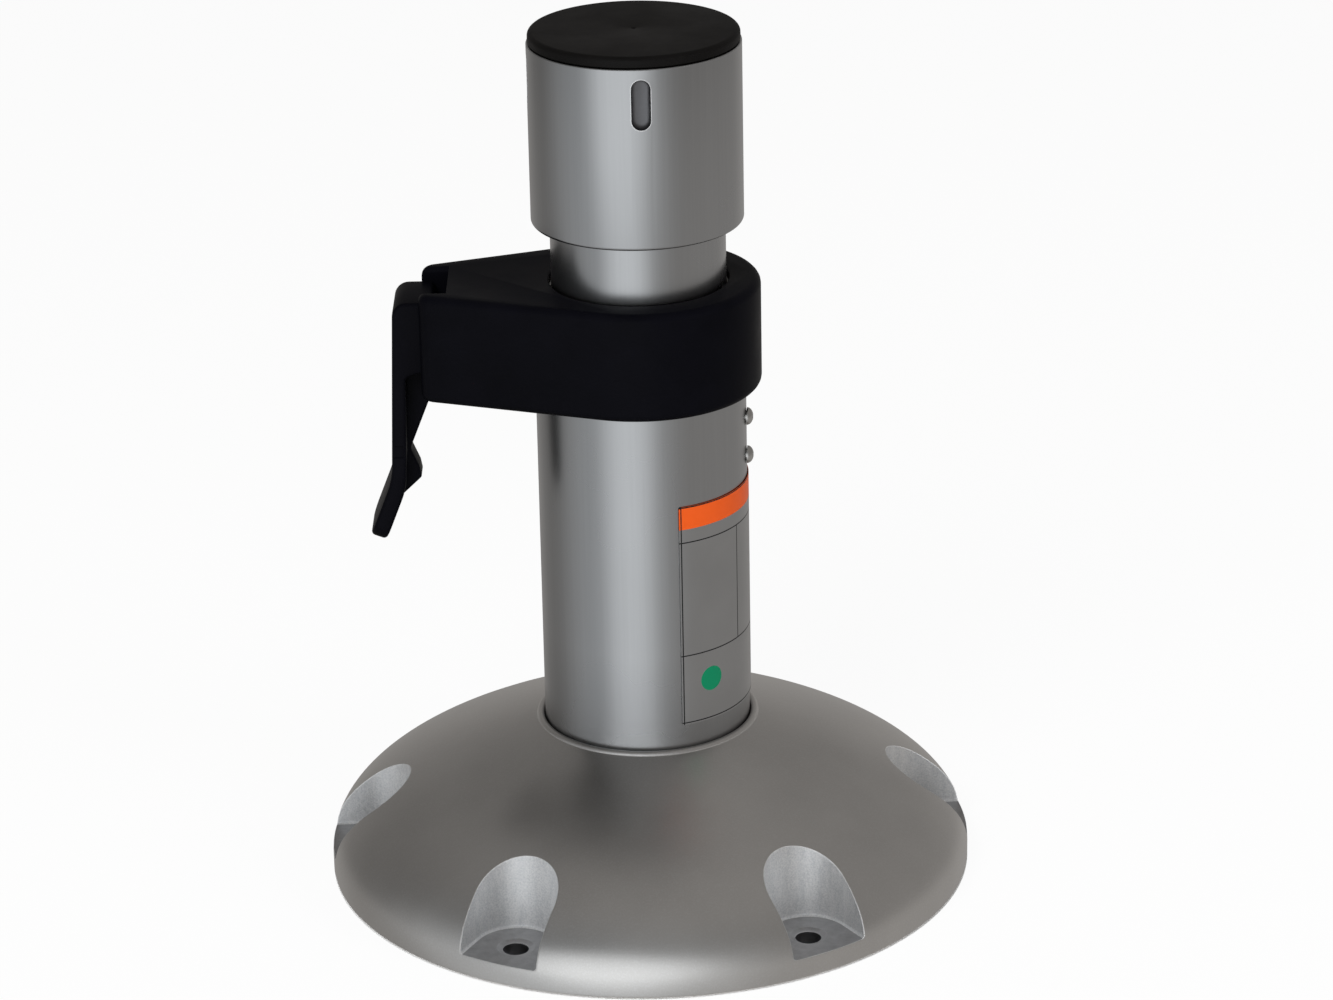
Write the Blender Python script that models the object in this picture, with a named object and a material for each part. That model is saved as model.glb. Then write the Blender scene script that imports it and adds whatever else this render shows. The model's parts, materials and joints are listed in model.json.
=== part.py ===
"""Height-adjustable boat seat pedestal.

A round cast base holds an outer tube. An inner post slides in the tube, guided by two bushings and
kept from turning by a key. A cam lever in the collar's fork pushes a brake shoe through the tube's
window against the post, and so holds the seat head at any height. Lengths are in metres.
"""
import math

import bmesh
import bpy
from mathutils import Matrix, Vector

FULL_TURN = 2 * math.pi
FACING_FRONT = Matrix.Rotation(math.pi / 2, 4, "X")
ALONG_X = Matrix.Rotation(math.pi / 2, 4, "Y")
ALONG_Y = Matrix.Rotation(-math.pi / 2, 4, "X")
OUTLINE_IN_YZ = Matrix(((0, 0, 1, 0), (1, 0, 0, 0), (0, 1, 0, 0), (0, 0, 0, 1)))

# Clearances
TOUCH_GAP = 0.0003
SLIDE_GAP = 0.0003
WINDOW_PLAY = 0.0006
LEVER_PLAY = 0.0004
CUT_MARGIN = 0.002

# Base casting
BASE_RADIUS = 0.1143
RIM_HEIGHT = 0.0055
RIM_EDGE = 0.0012
FOOT_WIDTH = 0.008
DOME_HEIGHT = 0.0558
DOME_SLOPE = math.radians(22.5)
DOME_CROWN_SHARE = 0.8
DOME_RIM_PULL = 0.0175
DOME_WALL = 0.006
UNDERSIDE_CORNER = 0.001
HUB_LIP_WIDTH = 0.0026
HUB_LIP_HEIGHT = 0.0012
HUB_WALL = 0.0062
HUB_DRAFT = 0.0018
HUB_CLEAR_OF_FLOOR = 0.003
SOCKET_FLOOR = 0.012
SOCKET_FLOOR_THICKNESS = 0.005
RIB_WIDTH = 0.0034

# Screw pockets in the rim
POCKET_COUNT = 6
POCKET_FIRST_ANGLE = math.radians(-57.5)
SCREW_FROM_RIM = 0.0138
POCKET_HALF_WIDTH = 0.0147
POCKET_DRAFT = 0.0009
POCKET_FLOOR = 0.008
POCKET_FLOOR_FILLET = 0.0026
POCKET_WALL = 0.0042
SCREW_HOLE_RADIUS = 0.0045
SCREW_SEAT_RADIUS = 0.0065
SCREW_SEAT_DEPTH = 0.0008

# Outer tube
TUBE_RADIUS = 0.0365
TUBE_WALL = 0.0032
TUBE_LENGTH = 0.2017

# Inner post
POST_WALL = 0.003
POST_ABOVE_TUBE_END = 0.0232
NECK_SHOWN = 0.021

# Seat head
HEAD_WALL = 0.00605
HEAD_LENGTH = 0.063
HEAD_EDGE = 0.0012
POST_BELOW_HEAD_TOP = 0.0043
HEAD_SLOT_COUNT = 4
HEAD_SLOT_FIRST_ANGLE = math.radians(-86.6)
HEAD_SLOT_WIDTH = 0.0066
HEAD_SLOT_LENGTH = 0.0174
HEAD_SLOT_DEPTH = 0.003
HEAD_SLOT_BELOW_TOP = 0.0035
CAP_SETBACK = 0.0005
CAP_THICKNESS = 0.0038
CAP_EDGE = 0.0017
CAP_SPIGOT_LENGTH = 0.0175
CAP_SPIGOT_WALL = 0.002
CAP_DIMPLE_RADIUS = 0.0012
CAP_DIMPLE_DEPTH = 0.0005

# Bushings
BUSHING_WALL = 0.00255
UPPER_BUSHING_LENGTH = 0.028
UPPER_BUSHING_FLANGE = 0.0019
LOWER_BUSHING_LENGTH = 0.020
LOWER_BUSHING_LIP = 0.0017
LUG_RADIUS = 0.003
LUG_ABOVE_POST_END = 0.010

# Guide key and its rivets
KEY_ANGLE = math.radians(-6)
KEY_WIDTH = 0.008
KEY_END_BEYOND_RIVET = 0.0045
KEY_DEPTH = 0.005
KEY_STOP_WALL = 0.004
RIVETS_BELOW_TUBE_TOP = {"lower": 0.0596, "upper": 0.0454}
RIVET_HEAD_RADIUS = 0.0031
RIVET_HEAD_HEIGHT = 0.0022
RIVET_SHANK_RADIUS = 0.002
RIVET_BULB_RADIUS = 0.0026
RIVET_BULB_LENGTH = 0.0014
MANDREL_RADIUS = 0.0008

# Clamp collar
COLLAR_WALL = 0.0055
COLLAR_HEIGHT = 0.0363
COLLAR_LIP = 0.0028
COLLAR_LIP_CLEARANCE = 0.00085
COLLAR_EDGE = 0.0022
NOSE_LENGTH = 0.0333
NOSE_CHEEK = 0.005
NOSE_CORNER = 0.005
SLOT_DEPTH = 0.0096
SLOT_EDGE = 0.0018
POCKET_BEHIND_LEVER = 0.0052
ROOF_THICKNESS = 0.0038
BLIND_CHEEK_SKIN = 0.0022
SCREW_THREAD_RADIUS = 0.003
SCREW_ABOVE_COLLAR_BOTTOM = 0.017
SCREW_SOCKET_ACROSS_FLATS = 0.003
SCREW_SOCKET_DEPTH = 0.0025

# Cam lever, from its pivot outward (-X) and upward (+Z)
LEVER_WIDTH = 0.025
LEVER_TOP = 0.010
LEVER_TOP_ROUND = 0.005
LEVER_FACE = 0.01275
LEVER_LEAN = 0.0030
LEVER_THICKNESS = 0.0050
LEVER_EDGE = 0.0010
LEVER_CORNER = 0.0012
HEAD_BACK_HEIGHT = 0.0052
HEAD_DEPTH = 0.0172
HEAD_STEP = 0.0013
HEAD_STEP_IN = 0.004
FLARE_DEPTH = 0.0548
FLARE_ROUND = 0.030
PADDLE_LENGTH = 0.0220
PADDLE_TILT = math.radians(21.6)
PADDLE_CORNER = 0.006
PADDLE_TIP_FLAT = 0.0004
GRIP_MARK_DEPTH = 0.0005
GRIP_MARK_HEIGHT = 0.0044
GRIP_MARK_BELOW_PIVOT = 0.0442
RIB_WIDTH_ON_LEVER = 0.010
RIB_HEEL_REACH = 0.0005
RIB_HEEL_DEPTH = 0.0215
RIB_HEEL_ROUND = 0.002
RIB_NOTCH_REACH = 0.0092
RIB_NOTCH_DEPTH = 0.0458
RIB_NOTCH_ROUND = 0.004
RIB_HOOK_REACH = 0.0056
RIB_HOOK_DEPTH = 0.0565
RIB_HOOK_BACK = 0.0038
RIB_HOOK_ROUND = 0.0014
RIB_ROOT_ON_PADDLE = 0.014
PIVOT_FROM_NOSE_END = 0.004
PIVOT_BELOW_COLLAR_TOP = 0.0143
PIN_RADIUS = 0.002
CAM_RADIUS = 0.006
CAM_LIFT_PER_RADIAN = 0.0015625

# Brake shoe and pad
SHOE_WIDTH = 0.015
SHOE_HEIGHT = 0.0125
SHOE_TOP_BELOW_PIVOT = 0.0005
SHOE_EDGE = 0.0008
PAD_THICKNESS = 0.0025

# Label panel
LABEL_START_ANGLE = math.radians(-70.6)
LABEL_SWEEP = math.radians(92)
LABEL_ABOVE_DOME = 0.0095
LABEL_BELOW_RIVET = 0.0074
LABEL_THICKNESS = 0.0002

# Facets round a full turn
BASE_STEPS = 64
TUBE_STEPS = 56
SMALL_STEPS = 16

# Places worked out from the sizes
TUBE_BOTTOM = SOCKET_FLOOR + TOUCH_GAP
TUBE_TOP = TUBE_BOTTOM + TUBE_LENGTH
TUBE_BORE = TUBE_RADIUS - TUBE_WALL
SOCKET_RADIUS = TUBE_RADIUS + TOUCH_GAP
BUSHING_RADIUS = TUBE_BORE - SLIDE_GAP
BUSHING_BORE = BUSHING_RADIUS - BUSHING_WALL
POST_RADIUS = BUSHING_BORE - SLIDE_GAP
POST_BORE = POST_RADIUS - POST_WALL
HEAD_BORE = POST_RADIUS + TOUCH_GAP
HEAD_RADIUS = HEAD_BORE + HEAD_WALL
CAP_RADIUS = HEAD_RADIUS - CAP_SETBACK
COLLAR_RADIUS = TUBE_RADIUS + COLLAR_WALL
NOSE_REACH = COLLAR_RADIUS + NOSE_LENGTH
SCREW_CIRCLE_RADIUS = BASE_RADIUS - SCREW_FROM_RIM
BOSS_RADIUS = POCKET_HALF_WIDTH + POCKET_WALL
LIP_UNDERSIDE = TUBE_TOP + UPPER_BUSHING_FLANGE + 2 * TOUCH_GAP
COLLAR_TOP = LIP_UNDERSIDE + COLLAR_LIP
COLLAR_BOTTOM = COLLAR_TOP - COLLAR_HEIGHT
HEAD_BOTTOM = COLLAR_TOP + NECK_SHOWN
HEAD_TOP = HEAD_BOTTOM + HEAD_LENGTH
POST_TOP = HEAD_TOP - POST_BELOW_HEAD_TOP
POST_BOTTOM = TUBE_BOTTOM + POST_ABOVE_TUBE_END
LUG_HEIGHT = POST_BOTTOM + LUG_ABOVE_POST_END
RIVET_HEIGHTS = {name: TUBE_TOP - drop for name, drop in RIVETS_BELOW_TUBE_TOP.items()}
KEY_BOTTOM = RIVET_HEIGHTS["lower"] - KEY_END_BEYOND_RIVET
KEY_TOP = RIVET_HEIGHTS["upper"] + KEY_END_BEYOND_RIVET
KEY_OUTER = TUBE_BORE * math.cos(math.pi / TUBE_STEPS) - TOUCH_GAP
KEY_INNER = KEY_OUTER - KEY_DEPTH
PIVOT = Vector((PIVOT_FROM_NOSE_END - NOSE_REACH, 0, COLLAR_TOP - PIVOT_BELOW_COLLAR_TOP))
SLOT_HALF_WIDTH = LEVER_WIDTH / 2 + LEVER_PLAY
NOSE_HALF_WIDTH = SLOT_HALF_WIDTH + NOSE_CHEEK
NOSE_TAPER = (math.asin(COLLAR_RADIUS / math.hypot(NOSE_REACH, NOSE_HALF_WIDTH))
              - math.atan2(NOSE_HALF_WIDTH, NOSE_REACH))
CHEEK_AT_PIVOT = (COLLAR_RADIUS + PIVOT.x * math.sin(NOSE_TAPER)) / math.cos(NOSE_TAPER)
PIN_SEAT = BLIND_CHEEK_SKIN - CHEEK_AT_PIVOT
ROOF_UNDERSIDE = COLLAR_TOP - ROOF_THICKNESS
SHOE_OUTER_END = PIVOT.x + CAM_RADIUS + TOUCH_GAP
PAD_FRONT = -(POST_RADIUS + SLIDE_GAP)
PAD_BACK = PAD_FRONT - PAD_THICKNESS
SHOE_TOP = PIVOT.z - SHOE_TOP_BELOW_PIVOT
SHOE_MIDDLE = SHOE_TOP - SHOE_HEIGHT / 2
LABEL_BOTTOM = DOME_HEIGHT + LABEL_ABOVE_DOME
LABEL_TOP = RIVET_HEIGHTS["lower"] - LABEL_BELOW_RIVET


def clear_scene():
    for leftover in list(bpy.data.objects):
        bpy.data.objects.remove(leftover, do_unlink=True)


def make_material(name, colour, roughness, metallic=0.0):
    material = bpy.data.materials.new(name)
    material.use_nodes = True
    shader = material.node_tree.nodes["Principled BSDF"]
    shader.inputs["Base Color"].default_value = (*colour, 1.0)
    shader.inputs["Roughness"].default_value = roughness
    shader.inputs["Metallic"].default_value = metallic
    return material


def arc(centre, radius, start, end, steps):
    """Points along a round stretch, both ends included."""
    angles = [start + (end - start) * step / steps for step in range(steps + 1)]
    return [(centre[0] + radius * math.cos(a), centre[1] + radius * math.sin(a)) for a in angles]


def rounded(corners, steps=4):
    """An outline from corners given as x, y and fillet radius."""
    outline = []
    for index, (x, y, radius) in enumerate(corners):
        corner = Vector((x, y))
        if radius == 0:
            outline.append((x, y))
            continue
        before = (Vector(corners[index - 1][:2]) - corner).normalized()
        after = (Vector(corners[(index + 1) % len(corners)][:2]) - corner).normalized()
        half_angle = before.angle(after) / 2
        centre = corner + (before + after).normalized() * (radius / math.sin(half_angle))
        reach = radius / math.tan(half_angle)
        start = corner + before * reach - centre
        turn = start.angle_signed(corner + after * reach - centre)
        for step in range(steps + 1):
            spoke = start.copy()
            spoke.rotate(Matrix.Rotation(-turn * step / steps, 2))
            outline.append(tuple(centre + spoke))
    return outline


def slot_outline(length, width, steps=6):
    """A straight slot with round ends, its length along Y."""
    reach = (length - width) / 2
    return (arc((0, reach), width / 2, 0, math.pi, steps)
            + arc((0, -reach), width / 2, math.pi, FULL_TURN, steps))


def rectangle(low, high):
    return [(low[0], low[1]), (high[0], low[1]), (high[0], high[1]), (low[0], high[1])]


def add_object(name, shape):
    """Makes an object from a bmesh, with its faces turned outward."""
    bmesh.ops.remove_doubles(shape, verts=shape.verts, dist=0.000001)
    bmesh.ops.recalc_face_normals(shape, faces=shape.faces)
    mesh = bpy.data.meshes.new(name)
    shape.to_mesh(mesh)
    shape.free()
    made = bpy.data.objects.new(name, mesh)
    bpy.context.collection.objects.link(made)
    return made


def prism(name, outline, low, high, frame=Matrix(), edge=0.0, edge_steps=2):
    """Extrudes an outline along the frame's Z axis, with a fillet round both its ends."""
    shape = bmesh.new()
    floor = shape.faces.new([shape.verts.new((x, y, low)) for x, y in outline])
    extruded = bmesh.ops.extrude_face_region(shape, geom=[floor])["geom"]
    raised = [item for item in extruded if isinstance(item, bmesh.types.BMVert)]
    bmesh.ops.translate(shape, verts=raised, vec=(0, 0, high - low))
    if edge:
        rims = [e for e in shape.edges if abs(e.verts[0].co.z - e.verts[1].co.z) < 1e-7]
        bmesh.ops.bevel(shape, geom=rims, offset=edge, segments=edge_steps, affect="EDGES",
                        profile=0.5, clamp_overlap=True)
    bmesh.ops.transform(shape, matrix=frame, verts=shape.verts)
    return add_object(name, shape)


def block(name, low, high):
    return prism(name, rectangle(low, high), low[2], high[2])


def turned(name, section, steps, frame=Matrix(), start=0.0, sweep=FULL_TURN):
    """Turns a section of radius and height about the frame's Z axis."""
    shape = bmesh.new()
    corners = [shape.verts.new((radius, 0, height)) for radius, height in section]
    whole_turn = sweep == FULL_TURN
    if whole_turn:
        follow = corners[1:] if section[0][0] == 0 else corners[1:] + corners[:1]
        geometry = corners + [shape.edges.new(pair) for pair in zip(corners, follow)]
    else:
        geometry = [shape.faces.new(corners)]
    bmesh.ops.rotate(shape, verts=shape.verts, matrix=Matrix.Rotation(start, 3, "Z"))
    bmesh.ops.spin(shape, geom=geometry, axis=(0, 0, 1), angle=sweep, steps=steps,
                   use_merge=whole_turn)
    bmesh.ops.remove_doubles(shape, verts=shape.verts, dist=0.000001)
    bmesh.ops.transform(shape, matrix=frame, verts=shape.verts)
    return add_object(name, shape)


def rod(name, radius, low, high, frame=Matrix(), steps=SMALL_STEPS):
    return turned(name, [(0, low), (radius, low), (radius, high), (0, high)], steps, frame)


def settled_mesh(made):
    """The object's mesh with its modifiers applied."""
    bpy.context.view_layer.update()
    evaluated = made.evaluated_get(bpy.context.evaluated_depsgraph_get())
    return bpy.data.meshes.new_from_object(evaluated)


def ring_of(name, pattern, count, first_angle):
    """One object with copies of the pattern, evenly spaced round the Z axis."""
    shape = bmesh.new()
    for index in range(count):
        copy = settled_mesh(pattern)
        copy.transform(Matrix.Rotation(first_angle + FULL_TURN * index / count, 4, "Z"))
        shape.from_mesh(copy)
        bpy.data.meshes.remove(copy)
    bpy.data.objects.remove(pattern, do_unlink=True)
    return add_object(name, shape)


def boolean(body, operation, *tools):
    """Joins to the body, or cuts from it, the shapes of the tools, which are hidden helpers."""
    for tool in tools:
        modifier = body.modifiers.new(f"{operation.title()} {tool.name}", "BOOLEAN")
        modifier.operation = operation
        modifier.solver = "EXACT"
        modifier.object = tool
        tool.hide_render = True
        tool.display_type = "WIRE"


def finish(made, material, frame=Matrix(), parent=None, smooth_below=math.radians(32)):
    """Applies the modifiers, removes their tools, and shades and places the piece."""
    tools = [modifier.object for modifier in made.modifiers if modifier.type == "BOOLEAN"]
    mesh = settled_mesh(made)
    made.modifiers.clear()
    made.data = mesh
    mesh.name = made.name
    for tool in tools:
        bpy.data.objects.remove(tool, do_unlink=True)
    mesh.materials.clear()
    mesh.materials.append(material)
    mesh.shade_smooth()
    mesh.set_sharp_from_angle(angle=smooth_below)
    made.parent = parent
    made.matrix_local = frame
    return made


def add_empty(name, place):
    empty = bpy.data.objects.new(name, None)
    empty.location = place
    bpy.context.collection.objects.link(empty)
    return empty


def dome_curve(inset=0.0, steps=11):
    """The dome's side from its hub lip to its rim, a cubic curve, moved inward by the inset."""
    top = Vector((SOCKET_RADIUS + HUB_LIP_WIDTH, DOME_HEIGHT))
    rim = Vector((BASE_RADIUS, RIM_HEIGHT))
    crown_pull = DOME_CROWN_SHARE * (rim.x - top.x)
    crown_handle = top + crown_pull * Vector((math.cos(DOME_SLOPE), -math.sin(DOME_SLOPE)))
    rim_handle = rim + Vector((0, DOME_RIM_PULL))
    points = []
    for step in range(steps + 1):
        t = step / steps
        s = 1 - t
        place = s**3 * top + 3 * s * s * t * crown_handle + 3 * s * t * t * rim_handle + t**3 * rim
        heading = (s * s * (crown_handle - top) + 2 * s * t * (rim_handle - crown_handle)
                   + t * t * (rim - rim_handle)).normalized()
        points.append(tuple(place + inset * Vector((heading.y, -heading.x))))
    return points


def dome_underside(inset, inner_radius, outer_radius, steps=8):
    """The inset curve between two radii, from the outer one to the inner one."""
    inside = [p for p in dome_curve(inset, steps) if inner_radius < p[0] < outer_radius]
    return inside[::-1]


def build_base(material):
    hub_radius = SOCKET_RADIUS + HUB_WALL
    wall_foot = BASE_RADIUS - FOOT_WIDTH
    under = dome_underside(DOME_WALL, hub_radius + HUB_DRAFT + CUT_MARGIN,
                           wall_foot - UNDERSIDE_CORNER / 2)
    hub_top = under[-1][1] + (under[-1][0] - hub_radius) * math.tan(DOME_SLOPE)
    lip_middle = SOCKET_RADIUS + HUB_LIP_WIDTH / 2
    lip = [(lip_middle + x * HUB_LIP_WIDTH / 2, DOME_HEIGHT + y * HUB_LIP_HEIGHT)
           for x, y in arc((0, 0), 1, math.pi, 0, 4)]
    section = [(0, SOCKET_FLOOR), (SOCKET_RADIUS, SOCKET_FLOOR), *lip[:-1], *dome_curve()]
    section += [(BASE_RADIUS, RIM_EDGE), (BASE_RADIUS - RIM_EDGE, 0), (wall_foot, 0)]
    section += [(wall_foot, under[0][1] - UNDERSIDE_CORNER), *under]
    section += [(hub_radius + HUB_DRAFT, hub_top), (hub_radius, HUB_CLEAR_OF_FLOOR)]
    section += [(SOCKET_RADIUS - HUB_WALL, HUB_CLEAR_OF_FLOOR)]
    section += [(SOCKET_RADIUS - HUB_WALL, SOCKET_FLOOR - SOCKET_FLOOR_THICKNESS)]
    section += [(0, SOCKET_FLOOR - SOCKET_FLOOR_THICKNESS)]
    base = turned("base_casting", section, BASE_STEPS)

    mid_wall = dome_underside(DOME_WALL / 2, SOCKET_RADIUS, BASE_RADIUS, steps=12)
    core = turned("core", [(0, -CUT_MARGIN), (mid_wall[0][0], -CUT_MARGIN), *mid_wall,
                           (0, mid_wall[-1][1])], BASE_STEPS)
    boss_outline = [(BASE_RADIUS, -BOSS_RADIUS), (BASE_RADIUS, BOSS_RADIUS)]
    boss_outline += arc((SCREW_CIRCLE_RADIUS, 0), BOSS_RADIUS, math.pi / 2, 3 * math.pi / 2, 10)
    bosses = ring_of("bosses", prism("boss", boss_outline, 0, DOME_HEIGHT),
                     POCKET_COUNT, POCKET_FIRST_ANGLE)
    rib_start = SOCKET_RADIUS + HUB_WALL / 2
    rib_end = SCREW_CIRCLE_RADIUS - BOSS_RADIUS + POCKET_WALL / 2
    rib = block("rib", (rib_start, -RIB_WIDTH / 2, HUB_CLEAR_OF_FLOOR),
                (rib_end, RIB_WIDTH / 2, DOME_HEIGHT))
    ribs = ring_of("ribs", rib, POCKET_COUNT, POCKET_FIRST_ANGLE)
    boolean(bosses, "UNION", ribs)
    boolean(bosses, "INTERSECT", core)
    boolean(base, "UNION", bosses)
    boolean(base, "DIFFERENCE", pocket_cutters(), screw_hole_cutters())
    finish(base, material)
    for helper in (ribs, core):
        bpy.data.objects.remove(helper, do_unlink=True)
    return base


def pocket_cutters():
    """Upright pockets, open through the rim, that widen upward by their draft."""
    outline = [(BASE_RADIUS + 2 * CUT_MARGIN, -POCKET_HALF_WIDTH),
               (BASE_RADIUS + 2 * CUT_MARGIN, POCKET_HALF_WIDTH)]
    outline += arc((SCREW_CIRCLE_RADIUS, 0), POCKET_HALF_WIDTH, math.pi / 2, 3 * math.pi / 2, 12)
    pocket = prism("pocket", outline, POCKET_FLOOR, DOME_HEIGHT)
    growth = 1 + POCKET_DRAFT / POCKET_HALF_WIDTH
    for corner in pocket.data.vertices:
        if corner.co.z > POCKET_FLOOR + CUT_MARGIN:
            corner.co.x = SCREW_CIRCLE_RADIUS + (corner.co.x - SCREW_CIRCLE_RADIUS) * growth
            corner.co.y *= growth
    shape = bmesh.new()
    shape.from_mesh(pocket.data)
    floor_rim = [e for e in shape.edges
                 if max(v.co.z for v in e.verts) < POCKET_FLOOR + CUT_MARGIN
                 and min(v.co.x for v in e.verts) < BASE_RADIUS]
    bmesh.ops.bevel(shape, geom=floor_rim, offset=POCKET_FLOOR_FILLET, segments=2, affect="EDGES",
                    profile=0.5)
    shape.to_mesh(pocket.data)
    shape.free()
    return ring_of("pockets", pocket, POCKET_COUNT, POCKET_FIRST_ANGLE)


def screw_hole_cutters():
    seat = POCKET_FLOOR - SCREW_SEAT_DEPTH
    section = [(0, -CUT_MARGIN), (SCREW_HOLE_RADIUS, -CUT_MARGIN), (SCREW_HOLE_RADIUS, seat),
               (SCREW_SEAT_RADIUS, POCKET_FLOOR), (SCREW_SEAT_RADIUS, POCKET_FLOOR + CUT_MARGIN),
               (0, POCKET_FLOOR + CUT_MARGIN)]
    hole = turned("hole", section, SMALL_STEPS, Matrix.Translation((SCREW_CIRCLE_RADIUS, 0, 0)))
    return ring_of("holes", hole, POCKET_COUNT, POCKET_FIRST_ANGLE)


def tube_section(inner, outer, low, high):
    return [(inner, low), (outer, low), (outer, high), (inner, high)]


def brake_window(name, outer, inner):
    """A cutter for the shoe's way through a wall, between two distances from the axis."""
    half_width = SHOE_WIDTH / 2 + WINDOW_PLAY
    half_height = SHOE_HEIGHT / 2 + WINDOW_PLAY
    return block(name, (-outer, -half_width, SHOE_MIDDLE - half_height),
                 (-inner, half_width, SHOE_MIDDLE + half_height))


def build_outer_tube(material):
    tube = turned("outer_tube", tube_section(TUBE_BORE, TUBE_RADIUS, TUBE_BOTTOM, TUBE_TOP),
                  TUBE_STEPS)
    boolean(tube, "DIFFERENCE", brake_window("tube_window", TUBE_RADIUS + CUT_MARGIN,
                                             TUBE_BORE - CUT_MARGIN - TUBE_WALL))
    for name, height in RIVET_HEIGHTS.items():
        frame = Matrix.Rotation(KEY_ANGLE, 4, "Z") @ Matrix.Translation((0, 0, height)) @ ALONG_X
        boolean(tube, "DIFFERENCE", rod(f"{name}_rivet_hole", RIVET_SHANK_RADIUS + TOUCH_GAP,
                                        TUBE_BORE - CUT_MARGIN, TUBE_RADIUS + CUT_MARGIN, frame))
    return finish(tube, material)


def nose_outline():
    """The collar's outline from above: a circle whose tangents taper to the fork's end."""
    tangent = math.pi / 2 + NOSE_TAPER
    round_side = arc((0, 0), COLLAR_RADIUS, -tangent, tangent, 36)
    corners = [(*round_side[-1], 0), (-NOSE_REACH, NOSE_HALF_WIDTH, NOSE_CORNER),
               (-NOSE_REACH, -NOSE_HALF_WIDTH, NOSE_CORNER), (*round_side[0], 0)]
    return round_side + rounded(corners)[1:-1]


def build_collar(material):
    collar = prism("clamp_collar", nose_outline(), COLLAR_BOTTOM, COLLAR_TOP, edge=COLLAR_EDGE)
    lip_hole = POST_RADIUS + COLLAR_LIP_CLEARANCE
    lip_edge = COLLAR_LIP / 3
    section = [(0, COLLAR_BOTTOM - CUT_MARGIN), (SOCKET_RADIUS, COLLAR_BOTTOM - CUT_MARGIN),
               (SOCKET_RADIUS, LIP_UNDERSIDE), (lip_hole, LIP_UNDERSIDE),
               (lip_hole, COLLAR_TOP - lip_edge), (lip_hole + lip_edge, COLLAR_TOP),
               (lip_hole + lip_edge, COLLAR_TOP + CUT_MARGIN), (0, COLLAR_TOP + CUT_MARGIN)]
    bore = turned("collar_bore", section, TUBE_STEPS)
    slot_end = SLOT_DEPTH - NOSE_REACH
    outside = -NOSE_REACH - CUT_MARGIN
    slot_mouth = SLOT_HALF_WIDTH + SLOT_EDGE
    slot_side = [(SLOT_HALF_WIDTH, COLLAR_BOTTOM - CUT_MARGIN),
                 *arc((slot_mouth, COLLAR_TOP - SLOT_EDGE), SLOT_EDGE, math.pi, math.pi / 2, 4),
                 (slot_mouth, COLLAR_TOP + CUT_MARGIN)]
    slot = prism("lever_slot", slot_side + [(-y, z) for y, z in reversed(slot_side)],
                 outside, slot_end, OUTLINE_IN_YZ)
    hollow = block("cam_hollow", (outside, -SLOT_HALF_WIDTH, COLLAR_BOTTOM - 2 * CUT_MARGIN),
                   (slot_end + POCKET_BEHIND_LEVER, SLOT_HALF_WIDTH, ROOF_UNDERSIDE))
    half_guide = Vector((0, SHOE_WIDTH / 2 + SLIDE_GAP, SHOE_HEIGHT / 2 + SLIDE_GAP))
    middle = Vector((0, 0, SHOE_MIDDLE))
    guide = block("shoe_guide", Vector((slot_end, 0, 0)) + middle - half_guide,
                  Vector((-TUBE_RADIUS + CUT_MARGIN, 0, 0)) + middle + half_guide)
    pin_hole = rod("pin_hole", PIN_RADIUS + TOUCH_GAP, PIN_SEAT,
                   CHEEK_AT_PIVOT + 2 * CUT_MARGIN, Matrix.Translation(PIVOT) @ ALONG_Y)
    screw_height = COLLAR_BOTTOM + SCREW_ABOVE_COLLAR_BOTTOM
    screw_hole = rod("screw_hole", SCREW_THREAD_RADIUS + TOUCH_GAP, TUBE_RADIUS - CUT_MARGIN,
                     COLLAR_RADIUS + CUT_MARGIN, Matrix.Translation((0, 0, screw_height)) @ ALONG_Y)
    boolean(collar, "DIFFERENCE", bore, slot, hollow, guide, pin_hole, screw_hole)
    return finish(collar, material)


def build_collar_screw(material):
    """A socket set screw that bears on the tube from the collar's back."""
    low = SOCKET_RADIUS
    high = COLLAR_RADIUS - TOUCH_GAP
    chamfer = SCREW_THREAD_RADIUS / 6
    frame = Matrix.Translation((0, 0, COLLAR_BOTTOM + SCREW_ABOVE_COLLAR_BOTTOM)) @ ALONG_Y
    screw = turned("collar_screw", [(0, low), (SCREW_THREAD_RADIUS - chamfer, low),
                                    (SCREW_THREAD_RADIUS, low + chamfer),
                                    (SCREW_THREAD_RADIUS, high - chamfer),
                                    (SCREW_THREAD_RADIUS - chamfer, high), (0, high)],
                   SMALL_STEPS, frame)
    hexagon = arc((0, 0), SCREW_SOCKET_ACROSS_FLATS / math.sqrt(3), 0, FULL_TURN, 6)[:-1]
    boolean(screw, "DIFFERENCE", prism("hex_socket", hexagon, high - SCREW_SOCKET_DEPTH,
                                       high + CUT_MARGIN, frame))
    return finish(screw, material)


def cam_outline(steps=13):
    """The cam's face below and inside the pivot, which lets the shoe back in step with the lever."""
    start, end = math.radians(-70), math.radians(60)
    points = []
    for step in range(steps + 1):
        facing = start + (end - start) * step / steps
        reach = CAM_RADIUS - CAM_LIFT_PER_RADIAN * facing
        points.append((reach * math.cos(facing) + CAM_LIFT_PER_RADIAN * math.sin(facing),
                       reach * math.sin(facing) - CAM_LIFT_PER_RADIAN * math.cos(facing)))
    return points


def paddle_point(along, inward):
    """A point on the lever's side, measured from its knee along the paddle and in from its face."""
    down = Vector((-math.sin(PADDLE_TILT), -math.cos(PADDLE_TILT)))
    across = Vector((math.cos(PADDLE_TILT), -math.sin(PADDLE_TILT)))
    return Vector((-LEVER_FACE - LEVER_LEAN, -FLARE_DEPTH)) + along * down + inward * across


def plate_inside(depth):
    """Where the plate's inner face lies at a depth below the pivot."""
    lean = LEVER_LEAN * (LEVER_TOP + depth) / (LEVER_TOP + FLARE_DEPTH)
    return LEVER_THICKNESS - LEVER_FACE - lean


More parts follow.
